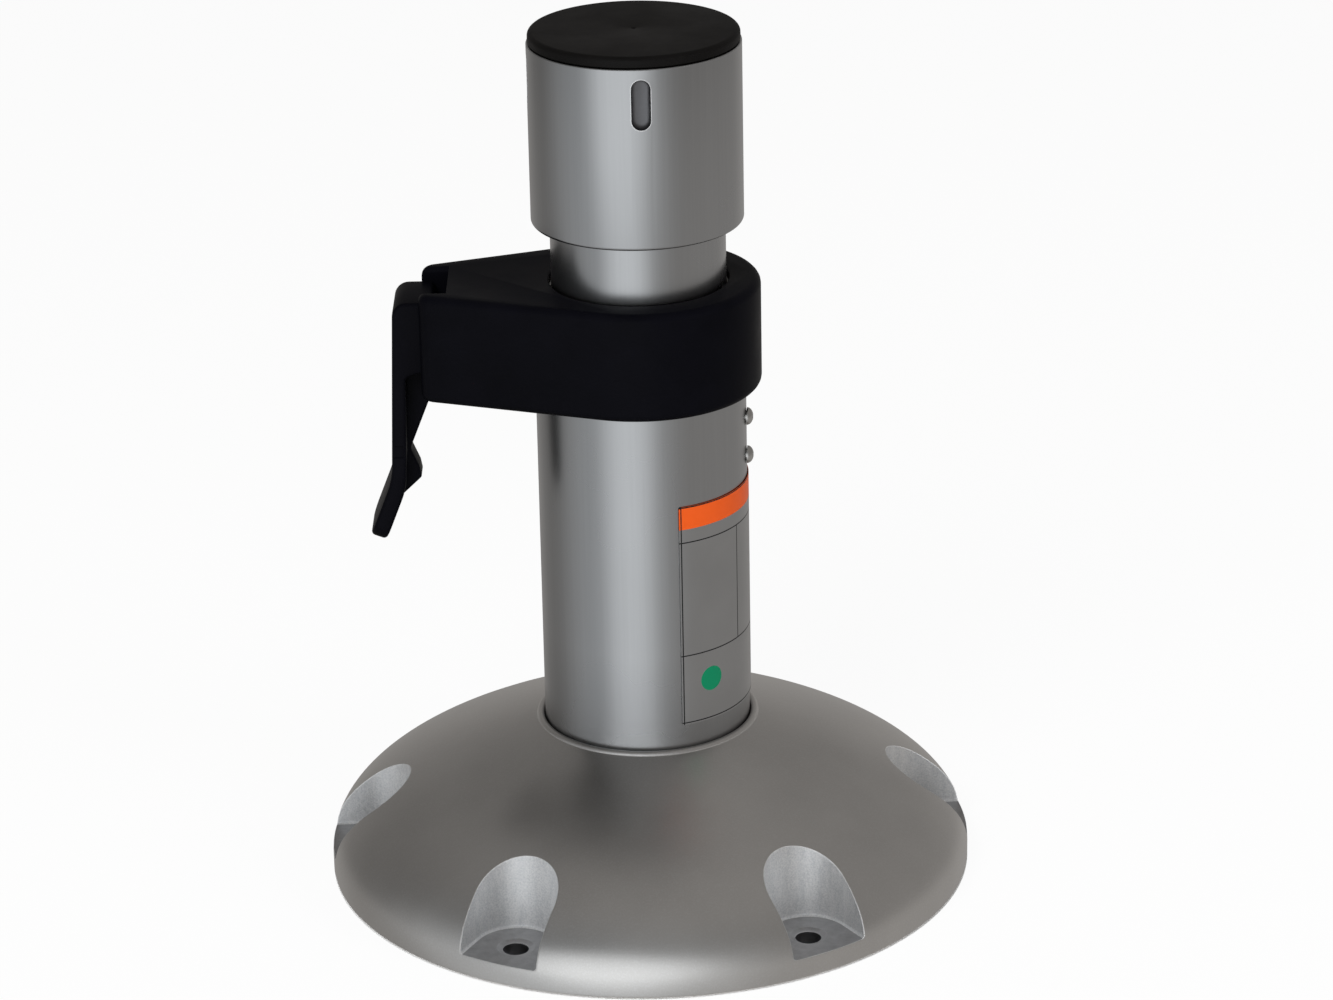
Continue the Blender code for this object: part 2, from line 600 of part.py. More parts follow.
def lever_outline():
    """The full-width lever from its side: cam head, leaning plate and round-tipped paddle."""
    tip_round = (LEVER_THICKNESS - PADDLE_TIP_FLAT) / 2
    bend = LEVER_THICKNESS * math.tan(PADDLE_TILT / 2)
    inside = plate_inside(HEAD_DEPTH)
    corners = [(LEVER_CORNER, HEAD_BACK_HEIGHT, LEVER_CORNER), (0, LEVER_TOP, LEVER_CORNER),
               (-LEVER_FACE, LEVER_TOP, LEVER_TOP_ROUND), (*paddle_point(0, 0), FLARE_ROUND),
               (*paddle_point(PADDLE_LENGTH, 0), tip_round),
               (*paddle_point(PADDLE_LENGTH, LEVER_THICKNESS), tip_round),
               (*paddle_point(-bend, LEVER_THICKNESS), FLARE_ROUND),
               (inside, -HEAD_DEPTH, LEVER_CORNER),
               (inside + HEAD_STEP_IN, HEAD_STEP - HEAD_DEPTH, LEVER_CORNER),
               (inside + CAM_RADIUS, HEAD_STEP - HEAD_DEPTH, LEVER_CORNER)]
    cam = cam_outline()
    framed = [(*cam[-1], 0), *corners, (*cam[0], 0)]
    return rounded(framed)[1:-1] + cam


def rib_outline():
    """The lever's rib from its side, with its heel, notch and hook."""
    sunk = LEVER_THICKNESS / 2 - LEVER_FACE
    return rounded([(sunk, LEVER_THICKNESS - HEAD_DEPTH, 0), (0, -CAM_RADIUS - RIB_NOTCH_ROUND / 2, 0),
                    (RIB_HEEL_REACH, -RIB_HEEL_DEPTH, RIB_HEEL_ROUND),
                    (-RIB_NOTCH_REACH, -RIB_NOTCH_DEPTH, RIB_NOTCH_ROUND),
                    (-RIB_HOOK_REACH - RIB_HOOK_ROUND / 2, RIB_HOOK_BACK - RIB_HOOK_DEPTH,
                     LEVER_CORNER),
                    (-RIB_HOOK_REACH, -RIB_HOOK_DEPTH, RIB_HOOK_ROUND),
                    (*paddle_point(RIB_ROOT_ON_PADDLE, LEVER_THICKNESS / 2), 0),
                    (sunk - LEVER_LEAN, -FLARE_DEPTH, 0)])


def build_lever(material, pivot_empty):
    half = LEVER_WIDTH / 2
    lever = prism("cam_lever", lever_outline(), -half, half, FACING_FRONT, edge=LEVER_EDGE)
    rib_half = RIB_WIDTH_ON_LEVER / 2
    rib = prism("lever_rib", rib_outline(), -rib_half, rib_half, FACING_FRONT, edge=LEVER_EDGE)
    tip = -FLARE_DEPTH - PADDLE_LENGTH - LEVER_THICKNESS
    paddle_end = paddle_point(PADDLE_LENGTH, LEVER_THICKNESS / 2).y
    front = rounded([(-half - CUT_MARGIN, LEVER_TOP + CUT_MARGIN, 0), (-half, LEVER_TOP, 0),
                     (-half, paddle_end, PADDLE_CORNER), (half, paddle_end, PADDLE_CORNER),
                     (half, LEVER_TOP, 0), (half + CUT_MARGIN, LEVER_TOP + CUT_MARGIN, 0)])
    trim = prism("paddle_trim", front, tip, -tip, OUTLINE_IN_YZ)
    mark_inside = plate_inside(GRIP_MARK_BELOW_PIVOT) - LEVER_EDGE
    marks = [block(f"grip_mark_{side:+d}",
                   (mark_inside - LEVER_THICKNESS, side * half - GRIP_MARK_DEPTH,
                    -GRIP_MARK_BELOW_PIVOT - GRIP_MARK_HEIGHT / 2),
                   (mark_inside, side * half + GRIP_MARK_DEPTH,
                    -GRIP_MARK_BELOW_PIVOT + GRIP_MARK_HEIGHT / 2)) for side in (-1, 1)]
    pin_bore = rod("pin_bore", PIN_RADIUS + TOUCH_GAP, -half - CUT_MARGIN, half + CUT_MARGIN,
                   ALONG_Y)
    boolean(lever, "UNION", rib)
    boolean(lever, "INTERSECT", trim)
    boolean(lever, "DIFFERENCE", pin_bore, *marks)
    return finish(lever, material, parent=pivot_empty)


def build_lever_pin(material):
    low = PIN_SEAT + TOUCH_GAP
    high = CHEEK_AT_PIVOT - 2 * TOUCH_GAP
    chamfer = PIN_RADIUS / 5
    section = [(0, low), (PIN_RADIUS - chamfer, low), (PIN_RADIUS, low + chamfer),
               (PIN_RADIUS, high - chamfer), (PIN_RADIUS - chamfer, high), (0, high)]
    pin = turned("lever_pin", section, SMALL_STEPS, ALONG_Y)
    return finish(pin, material, Matrix.Translation(PIVOT))


def build_shoe(material, shoe_empty):
    """The block between cam and pad. Its origin lies on its slide, at the cam."""
    length = SHOE_OUTER_END - (PAD_BACK - TOUCH_GAP)
    half = Vector((SHOE_WIDTH / 2, SHOE_HEIGHT / 2))
    outline = rounded([(*corner, SHOE_EDGE) for corner in rectangle(-half, half)], 2)
    shoe = prism("brake_shoe", outline, 0, -length, OUTLINE_IN_YZ, edge=SHOE_EDGE / 2)
    return finish(shoe, material, parent=shoe_empty)


def build_pad(material, shoe_empty):
    """The friction pad, hollowed to the post's curve."""
    back = PAD_BACK - SHOE_OUTER_END
    front = -(POST_RADIUS * math.cos(math.asin(SHOE_WIDTH / 2 / POST_RADIUS))) - SHOE_OUTER_END
    pad = block("brake_pad", (back, -SHOE_WIDTH / 2, -SHOE_HEIGHT / 2),
                (front, SHOE_WIDTH / 2, SHOE_HEIGHT / 2))
    boolean(pad, "DIFFERENCE", rod("post_curve", POST_RADIUS + SLIDE_GAP, -SHOE_HEIGHT, SHOE_HEIGHT,
                                   Matrix.Translation((-SHOE_OUTER_END, 0, 0)), TUBE_STEPS))
    return finish(pad, material, parent=shoe_empty)


def build_post(material, slide):
    post = turned("inner_post", tube_section(POST_BORE, POST_RADIUS, POST_BOTTOM, POST_TOP),
                  TUBE_STEPS)
    slot_bottom = POST_BOTTOM + KEY_STOP_WALL
    slot_top = KEY_TOP + NECK_SHOWN
    outline = [(y, z + (slot_top + slot_bottom) / 2) for y, z in
               slot_outline(slot_top - slot_bottom, KEY_WIDTH + 2 * SLIDE_GAP)]
    turn = Matrix.Rotation(KEY_ANGLE, 4, "Z")
    keyway = prism("keyway", outline, POST_BORE - CUT_MARGIN, POST_RADIUS + CUT_MARGIN,
                   turn @ OUTLINE_IN_YZ)
    across = turn @ Matrix.Translation((0, 0, LUG_HEIGHT)) @ ALONG_Y
    lug_holes = rod("lug_holes", LUG_RADIUS + TOUCH_GAP, -POST_RADIUS - CUT_MARGIN,
                    POST_RADIUS + CUT_MARGIN, across)
    boolean(post, "DIFFERENCE", keyway, lug_holes)
    return finish(post, material, parent=slide)


def build_head(material, slide):
    foot = arc((HEAD_RADIUS - HEAD_EDGE, HEAD_BOTTOM + HEAD_EDGE), HEAD_EDGE, -math.pi / 2, 0, 2)
    top_edge = HEAD_EDGE / 3
    section = [(HEAD_BORE + top_edge, HEAD_BOTTOM), *foot, (HEAD_RADIUS, HEAD_TOP - top_edge),
               (HEAD_RADIUS - top_edge, HEAD_TOP), (HEAD_BORE, HEAD_TOP),
               (HEAD_BORE, HEAD_BOTTOM + top_edge)]
    head = turned("head_sleeve", section, TUBE_STEPS)
    middle = HEAD_TOP - HEAD_SLOT_BELOW_TOP - HEAD_SLOT_LENGTH / 2
    outline = [(y, z + middle) for y, z in slot_outline(HEAD_SLOT_LENGTH, HEAD_SLOT_WIDTH)]
    slot = prism("slot", outline, HEAD_RADIUS - HEAD_SLOT_DEPTH, HEAD_RADIUS + CUT_MARGIN,
                 OUTLINE_IN_YZ)
    boolean(head, "DIFFERENCE", ring_of("head_slots", slot, HEAD_SLOT_COUNT, HEAD_SLOT_FIRST_ANGLE))
    return finish(head, material, parent=slide)


def build_cap(material, slide):
    """A plug with a rounded rim and a hollow spigot that fits in the post."""
    low = HEAD_TOP + TOUCH_GAP
    high = low + CAP_THICKNESS
    spigot = POST_BORE - TOUCH_GAP
    rim = arc((CAP_RADIUS - CAP_EDGE, high - CAP_EDGE), CAP_EDGE, 0, math.pi / 2, 3)
    spigot_bottom = low - CAP_SPIGOT_LENGTH
    section = [(0, low), (spigot - CAP_SPIGOT_WALL, low), (spigot - CAP_SPIGOT_WALL, spigot_bottom),
               (spigot, spigot_bottom), (spigot, low), (CAP_RADIUS, low), *rim,
               (CAP_DIMPLE_RADIUS, high), (0, high - CAP_DIMPLE_DEPTH)]
    return finish(turned("head_cap", section, TUBE_STEPS), material, parent=slide)


def build_upper_bushing(material):
    low = TUBE_TOP - UPPER_BUSHING_LENGTH
    flange = TUBE_TOP + TOUCH_GAP
    section = [(BUSHING_BORE, low), (BUSHING_RADIUS, low), (BUSHING_RADIUS, flange),
               (TUBE_RADIUS - TOUCH_GAP, flange),
               (TUBE_RADIUS - TOUCH_GAP, flange + UPPER_BUSHING_FLANGE),
               (BUSHING_BORE, flange + UPPER_BUSHING_FLANGE)]
    bushing = turned("upper_bushing", section, TUBE_STEPS)
    boolean(bushing, "DIFFERENCE", brake_window("bushing_window", TUBE_RADIUS,
                                                POST_RADIUS - CUT_MARGIN - POST_WALL))
    return finish(bushing, material)


def build_lower_bushing(material, slide):
    """A split ring round the post's foot, open at the key, with two lugs in the post's holes."""
    low = POST_BOTTOM - TOUCH_GAP - LOWER_BUSHING_LIP
    lip_top = POST_BOTTOM - TOUCH_GAP
    section = [(POST_BORE, low), (BUSHING_RADIUS, low), (BUSHING_RADIUS, low + LOWER_BUSHING_LENGTH),
               (BUSHING_BORE, low + LOWER_BUSHING_LENGTH), (BUSHING_BORE, lip_top),
               (POST_BORE, lip_top)]
    half_gap = (KEY_WIDTH / 2 + WINDOW_PLAY) / BUSHING_BORE
    bushing = turned("lower_bushing", section, TUBE_STEPS, start=KEY_ANGLE + half_gap,
                     sweep=FULL_TURN - 2 * half_gap)
    for side in (-1, 1):
        across = (Matrix.Rotation(KEY_ANGLE + side * math.pi / 2, 4, "Z")
                  @ Matrix.Translation((0, 0, LUG_HEIGHT)) @ ALONG_X)
        boolean(bushing, "UNION", rod(f"lug_{side}", LUG_RADIUS, POST_BORE + TOUCH_GAP,
                                      (BUSHING_BORE + BUSHING_RADIUS) / 2, across))
    return finish(bushing, material, parent=slide)


def build_key(material):
    frame = Matrix.Rotation(KEY_ANGLE, 4, "Z")
    outline = [(y, z + (KEY_TOP + KEY_BOTTOM) / 2)
               for y, z in slot_outline(KEY_TOP - KEY_BOTTOM, KEY_WIDTH)]
    key = prism("guide_key", outline, KEY_INNER, KEY_OUTER, frame @ OUTLINE_IN_YZ)
    for name, height in RIVET_HEIGHTS.items():
        axis = frame @ Matrix.Translation((0, 0, height)) @ ALONG_X
        seat = KEY_INNER + RIVET_BULB_LENGTH + TOUCH_GAP
        section = [(0, KEY_INNER - CUT_MARGIN),
                   (RIVET_BULB_RADIUS + TOUCH_GAP, KEY_INNER - CUT_MARGIN),
                   (RIVET_BULB_RADIUS + TOUCH_GAP, seat), (RIVET_SHANK_RADIUS + TOUCH_GAP, seat),
                   (RIVET_SHANK_RADIUS + TOUCH_GAP, KEY_OUTER + CUT_MARGIN),
                   (0, KEY_OUTER + CUT_MARGIN)]
        boolean(key, "DIFFERENCE", turned(f"{name}_rivet_seat", section, SMALL_STEPS, axis))
    return finish(key, material)


def build_rivet(name, height, rivet_material, mandrel_material):
    """A blind rivet through tube and key, and the stem that its setting left inside it."""
    axis = Matrix.Rotation(KEY_ANGLE, 4, "Z") @ Matrix.Translation((0, 0, height)) @ ALONG_X
    bulb_end = KEY_INNER + RIVET_BULB_LENGTH
    head_seat = TUBE_RADIUS + TOUCH_GAP
    bore = MANDREL_RADIUS + TOUCH_GAP
    dome = [(RIVET_HEAD_RADIUS * x, head_seat + RIVET_HEAD_HEIGHT * y)
            for x, y in arc((0, 0), 1, 0, math.acos(bore / RIVET_HEAD_RADIUS), 4)]
    section = [(bore, KEY_INNER), (RIVET_BULB_RADIUS, KEY_INNER), (RIVET_BULB_RADIUS, bulb_end),
               (RIVET_SHANK_RADIUS, bulb_end), (RIVET_SHANK_RADIUS, head_seat), *dome]
    finish(turned(f"rivet_{name}", section, SMALL_STEPS, axis), rivet_material)
    stem_end = dome[-1][1] - TOUCH_GAP
    knob_top = KEY_INNER - TOUCH_GAP
    knob = 2 * MANDREL_RADIUS
    section = [(0, knob_top - MANDREL_RADIUS), (knob, knob_top - MANDREL_RADIUS), (knob, knob_top),
               (MANDREL_RADIUS, knob_top), (MANDREL_RADIUS, stem_end), (0, stem_end)]
    finish(turned(f"mandrel_{name}", section, SMALL_STEPS, axis), mandrel_material)


def build_label(material):
    inner = TUBE_RADIUS + TOUCH_GAP
    section = tube_section(inner, inner + LABEL_THICKNESS, LABEL_BOTTOM, LABEL_TOP)
    label = turned("label_panel", section, SMALL_STEPS, start=LABEL_START_ANGLE, sweep=LABEL_SWEEP)
    return finish(label, material)


def build_pedestal():
    clear_scene()
    cast_aluminium = make_material("cast_aluminium", (0.42, 0.41, 0.39), 0.42, 1.0)
    tube_aluminium = make_material("tube_aluminium", (0.62, 0.62, 0.60), 0.32, 1.0)
    black_plastic = make_material("black_plastic", (0.012, 0.012, 0.014), 0.45)
    cap_plastic = make_material("cap_plastic", (0.022, 0.020, 0.019), 0.5)
    bearing_plastic = make_material("bearing_plastic", (0.72, 0.71, 0.66), 0.5)
    steel = make_material("steel", (0.55, 0.55, 0.56), 0.28, 1.0)
    friction_rubber = make_material("friction_rubber", (0.05, 0.045, 0.04), 0.85)
    label_film = make_material("label_film", (0.60, 0.60, 0.58), 0.4)

    build_base(cast_aluminium)
    build_outer_tube(tube_aluminium)
    build_collar(black_plastic)
    build_collar_screw(steel)
    build_lever_pin(steel)
    build_upper_bushing(bearing_plastic)
    build_key(steel)
    for name, height in RIVET_HEIGHTS.items():
        build_rivet(name, height, tube_aluminium, steel)
    build_label(label_film)

    pivot_empty = add_empty("lever_axis", PIVOT)
    build_lever(black_plastic, pivot_empty)
    shoe_empty = add_empty("shoe_axis", (SHOE_OUTER_END, 0, SHOE_MIDDLE))
    build_shoe(black_plastic, shoe_empty)
    build_pad(friction_rubber, shoe_empty)
    slide = add_empty("post_axis", (0, 0, 0))
    build_post(tube_aluminium, slide)
    build_head(tube_aluminium, slide)
    build_cap(cap_plastic, slide)
    build_lower_bushing(bearing_plastic, slide)


build_pedestal()
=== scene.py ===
"""Boat seat pedestal: looks for the packed part.

The packed solids are loaded as a fixed frame. Each visible piece is modelled again on that frame
with smooth surfaces and a procedural finish. Lengths are in metres, +Z is up.
"""

import json
import math

import bmesh
import bpy
from bpy.props import FloatProperty, FloatVectorProperty, IntProperty, PointerProperty
from mathutils import Matrix, Vector


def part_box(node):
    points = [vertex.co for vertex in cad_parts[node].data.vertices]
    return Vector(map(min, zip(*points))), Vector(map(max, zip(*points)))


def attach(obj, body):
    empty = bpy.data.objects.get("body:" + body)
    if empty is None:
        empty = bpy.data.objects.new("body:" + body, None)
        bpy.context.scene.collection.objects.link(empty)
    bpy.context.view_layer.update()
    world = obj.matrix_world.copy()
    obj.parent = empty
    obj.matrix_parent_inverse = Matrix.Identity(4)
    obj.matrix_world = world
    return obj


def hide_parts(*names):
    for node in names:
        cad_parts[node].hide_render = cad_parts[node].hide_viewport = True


bl_info = {
    "name": "Boat Seat Pedestal",
    "version": (1, 0, 0),
    "blender": (4, 5, 0),
    "location": "View3D > Sidebar > Pedestal",
    "description": "Models a height-adjustable boat seat pedestal on its packed frame",
    "category": "Object",
}

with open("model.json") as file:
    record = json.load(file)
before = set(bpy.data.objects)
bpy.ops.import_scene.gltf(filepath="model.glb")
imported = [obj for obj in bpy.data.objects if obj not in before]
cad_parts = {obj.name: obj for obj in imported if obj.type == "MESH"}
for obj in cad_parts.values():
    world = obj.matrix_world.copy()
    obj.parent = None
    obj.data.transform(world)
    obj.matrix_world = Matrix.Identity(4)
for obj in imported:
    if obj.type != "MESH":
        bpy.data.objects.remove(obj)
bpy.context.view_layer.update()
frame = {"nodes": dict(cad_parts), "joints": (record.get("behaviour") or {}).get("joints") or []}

# Gaps between seated pieces, and how far cutters reach past what they cut
SEAT_GAP = 0.0003
TOUCH_GAP = 0.00005
CUT_MARGIN = 0.002
DEEP_MARGIN = 0.004
SMALL_STEP = 0.0005

# How closely two heights or places count as the same
TOLERANCE = 0.0001
FINE_TOLERANCE = 0.00001
ALMOST_ZERO = 0.000001

# Turns from flat drawings to their places
FULL_TURN = 2 * math.pi
SIDE_ON = Matrix.Rotation(math.pi / 2, 4, "X")
OUTWARD_X = Matrix.Rotation(math.pi / 2, 4, "Y")
OUTWARD_Y = Matrix.Rotation(-math.pi / 2, 4, "X")
FACING_X = Matrix(((0, 0, 1, 0), (1, 0, 0, 0), (0, 1, 0, 0), (0, 0, 0, 1)))

BASE_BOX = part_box("base_casting")
TUBE_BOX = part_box("outer_tube")
POST_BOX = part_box("inner_post")
HEAD_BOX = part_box("head_sleeve")
CAP_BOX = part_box("head_cap")
COLLAR_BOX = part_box("clamp_collar")
LEVER_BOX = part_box("cam_lever")
LABEL_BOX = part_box("label_panel")
KEY_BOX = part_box("guide_key")
PIVOT = frame["joints"][1]["pos_m"]


def length(name, description, default):
    return FloatProperty(name=name, description=description, default=default, min=0.0,
                         unit="LENGTH", subtype="DISTANCE", precision=5)


def height(name, description, default):
    return FloatProperty(name=name, description=description, default=default, unit="LENGTH",
                         subtype="DISTANCE", precision=5)


def turn(name, description, degrees):
    return FloatProperty(name=name, description=description, default=math.radians(degrees),
                         unit="ROTATION", subtype="ANGLE")


def light(name, description, default):
    return FloatProperty(name=name, description=description, default=default, min=0.0)


def power(name, description, default):
    return FloatProperty(name=name, description=description, default=default, unit="POWER",
                         subtype="POWER")


def colour(name, description, default):
    return FloatVectorProperty(name=name, description=description, default=default, size=3,
                               min=0.0, max=1.0, subtype="COLOR")


class PedestalBaseSizes(bpy.types.PropertyGroup):
    """Sizes of the cast base."""
    radius: length("Radius", "Outer radius of the foot", BASE_BOX[1].x)
    rim_height: height("Rim height", "Height at which the dome meets the rim", 0.0055)
    rim_edge: length("Rim edge", "Rounding of the rim's lower edge", 0.0012)
    foot_width: length("Foot width", "Width of the ring that stands on the deck", 0.008)
    dome_height: height("Dome height", "Height of the dome at the tube", 0.0558)
    dome_slope: turn("Dome slope", "Slope of the dome beside the tube", 22.5)
    crown_share: FloatProperty(name="Crown fullness", default=0.8, min=0.1, max=1.0,
                               description="How far the crown keeps its slope")
    rim_pull: length("Rim pull", "How upright the dome is above its rim", 0.0175)
    wall: length("Wall", "Thickness of the dome", 0.006)
    lip_width: length("Lip width", "Width of the bead round the tube", 0.0026)
    lip_height: length("Lip height", "Height of the bead round the tube", 0.0012)
    hub_wall: length("Hub wall", "Wall of the socket under the dome", 0.0062)
    hub_draft: length("Hub draft", "How much wider the hub is at its root", 0.0018)
    socket_floor: height("Socket floor", "Height of the floor under the tube", 0.012)
    floor_wall: length("Socket floor wall", "Thickness of the socket's floor", 0.005)
    rib_width: length("Rib width", "Width of the ribs under the dome", 0.0034)
    clear_of_deck: height("Clear of deck", "How far hub and ribs stay off the deck", 0.003)
    steps: IntProperty(name="Steps", description="Facets round the base", default=192, min=24)


class PedestalPocketSizes(bpy.types.PropertyGroup):
    """Sizes of the screw pockets in the base."""
    count: IntProperty(name="Count", description="How many screw pockets", default=6, min=1)
    first_angle: turn("First angle", "Direction of the first pocket", -57.5)
    screw_from_rim: length("Screw from rim", "Distance of the screw holes from the rim", 0.0138)
    half_width: length("Half width", "Half the pocket's width at its floor", 0.0147)
    draft: length("Draft", "How much wider the pocket is at its mouth", 0.0009)
    floor: height("Floor", "Height of the pocket's floor", 0.008)
    floor_fillet: length("Floor fillet", "Fillet between floor and wall", 0.0010)
    wall: length("Wall", "Wall of the boss round a pocket", 0.0042)
    hole_radius: length("Hole radius", "Radius of the screw hole", 0.0045)
    seat_radius: length("Seat radius", "Radius of the dished screw seat", 0.0065)
    seat_depth: length("Seat depth", "Depth of the dished screw seat", 0.0008)


class PedestalTubeSizes(bpy.types.PropertyGroup):
    """Sizes of the outer tube, the post and what is fixed to them."""
    radius: length("Tube radius", "Outer radius of the tube", TUBE_BOX[1].x)
    bottom: height("Tube bottom", "Height of the tube's lower end", TUBE_BOX[0].z)
    top: height("Tube top", "Height of the tube's upper end", TUBE_BOX[1].z)
    wall: length("Tube wall", "Wall of the tube", 0.0032)
    edge: length("Tube edge", "Chamfer at the tube's ends", 0.0005)
    post_radius: length("Post radius", "Outer radius of the post", POST_BOX[1].y)
    post_bottom: height("Post bottom", "Height of the post's lower end", POST_BOX[0].z)
    post_top: height("Post top", "Height of the post's upper end", POST_BOX[1].z)
    post_wall: length("Post wall", "Wall of the post", 0.003)
    post_edge: length("Post edge", "Chamfer at the post's ends", 0.0004)
    key_angle: turn("Key angle", "Direction of the guide key and its rivets", -6)
    key_slot_width: length("Key slot width", "Width of the post's slot", 0.0086)
    key_slot_above: length("Key slot above", "How far the slot runs above the key", 0.021)
    key_slot_below: length("Key slot below", "Post left below the slot", 0.004)
    lug_height: height("Lug height", "Height of the bushing lugs above the post's end", 0.010)
    lug_radius: length("Lug hole radius", "Radius of the holes for the bushing's lugs", 0.0033)
    window_width: length("Window width", "Width of the brake shoe's window", 0.0162)
    window_height: length("Window height", "Height of the brake shoe's window", 0.0137)
    window_middle: height("Window middle", "Height of the window's middle", 0.19825)
    rivet_from_end: length("Rivet from key end", "Distance of a rivet from the key's end", 0.0045)
    rivet_head_radius: length("Rivet head radius", "Radius of a rivet's head", 0.0031)
    rivet_head_height: length("Rivet head height", "Height of a rivet's head", 0.0022)
    rivet_bore: length("Rivet bore", "Radius of the hole left round the stem", 0.0011)
    rivet_shank: length("Rivet shank", "Radius of a rivet's shank", 0.002)
    rivet_bulge: length("Rivet bulge", "Radius of a rivet's bulge behind the key", 0.0026)
    rivet_bulge_depth: length("Rivet bulge depth", "Depth of a rivet's bulge", 0.0014)
    stem_radius: length("Stem radius", "Radius of the stem left in a rivet", 0.0008)
    stem_edge: length("Stem edge", "Chamfer at the stem's end", 0.0002)
    stem_sunk: length("Stem sunk", "How deep the stem's end lies in the rivet", 0.0003)
    knob_radius: length("Knob radius", "Radius of the stem's knob", 0.0016)
    knob_depth: length("Knob depth", "Depth of the stem's knob", 0.0008)
    key_depth: length("Key depth", "Depth of the guide key", 0.0053)
    steps: IntProperty(name="Steps", description="Facets round tubes", default=168, min=24)


class PedestalHeadSizes(bpy.types.PropertyGroup):
    """Sizes of the seat head and its cap."""
    radius: length("Head radius", "Outer radius of the head", HEAD_BOX[1].y)
    bottom: height("Head bottom", "Height of the head's lower end", HEAD_BOX[0].z)
    top: height("Head top", "Height of the head's upper end", HEAD_BOX[1].z)
    bore: length("Head bore", "Radius of the head's bore", 0.03045)
    foot_edge: length("Foot edge", "Rounding of the head's lower edge", 0.0012)
    top_edge: length("Top edge", "Rounding of the head's upper edge", 0.0004)
    slot_count: IntProperty(name="Slots", description="Slots round the head", default=4, min=1)
    slot_angle: turn("Slot angle", "Direction of the first slot", -86.6)
    slot_width: length("Slot width", "Width of a slot", 0.0066)
    slot_length: length("Slot length", "Length of a slot", 0.0174)
    slot_depth: length("Slot depth", "Depth of a slot", 0.003)
    slot_fillet: length("Slot fillet", "Fillet round a slot's floor", 0.0016)
    slot_below_top: length("Slot below top", "Distance of a slot from the head's top", 0.0035)
    cap_radius: length("Cap radius", "Radius of the cap", CAP_BOX[1].y)
    cap_top: height("Cap top", "Height of the cap's face", CAP_BOX[1].z)
    cap_bottom: height("Cap bottom", "Height of the spigot's end", CAP_BOX[0].z)
    cap_thickness: length("Cap thickness", "Thickness of the cap's disc", 0.0038)
    cap_edge: length("Cap edge", "Rounding of the cap's rim", 0.0017)
    spigot_gap: length("Spigot gap", "Post's wall and play round the spigot", 0.0033)
    cap_under_edge: length("Cap under edge", "Chamfer under the cap's rim", 0.0003)
    spigot_wall: length("Spigot wall", "Wall of the cap's spigot", 0.002)
    spigot_lead: length("Spigot lead", "Height of the chamfer at the spigot's end", 0.0008)
    dimple_radius: length("Dimple radius", "Radius of the dimple in the cap", 0.0012)
    dimple_depth: length("Dimple depth", "Depth of the dimple in the cap", 0.0005)
    steps: IntProperty(name="Steps", description="Facets round the head", default=168, min=24)


class PedestalCollarSizes(bpy.types.PropertyGroup):
    """Sizes of the clamp collar."""
    radius: length("Radius", "Radius of the collar's ring", COLLAR_BOX[1].x)
    nose_reach: length("Nose reach", "Distance of the fork's end from the axis", -COLLAR_BOX[0].x)
    nose_half_width: length("Nose half width", "Half the fork's width at its end", 0.0179)
    nose_corner: length("Nose corner", "Rounding of the fork's corners", 0.005)
    bottom: height("Bottom", "Height of the collar's underside", COLLAR_BOX[0].z - 0.0023)
    top: height("Top", "Height of the collar's top", COLLAR_BOX[1].z)
    edge: length("Edge", "Rounding of the collar's rims", 0.0029)
    lip: length("Lip", "Thickness of the lip over the tube", 0.0028)
    lip_radius: length("Lip radius", "Radius of the lip's hole", 0.031)
    slot_half_width: length("Slot half width", "Half the lever slot's width", 0.0129)
    slot_depth: length("Slot depth", "Depth of the slot from the fork's end", 0.0096)
    slot_edge: length("Slot edge", "Rounding of the slot's upper edges", 0.0018)
    hollow_depth: length("Hollow depth", "Depth of the hollow behind the slot", 0.0052)
    roof: length("Roof", "Thickness over the hollow", 0.0038)
    pin_radius: length("Pin hole radius", "Radius of the lever pin's hole", 0.0023)
    pin_skin: length("Pin skin", "Material left before the blind end of the hole", 0.0022)
    screw_radius: length("Screw hole radius", "Radius of the set screw's hole", 0.0033)
    screw_height: height("Screw height", "Height of the set screw", 0.2)
    guide_half_width: length("Guide half width", "Half the shoe guide's width", 0.0078)
    guide_half_height: length("Guide half height", "Half the shoe guide's height", 0.00655)
    steps: IntProperty(name="Steps", description="Facets round the ring", default=120, min=24)


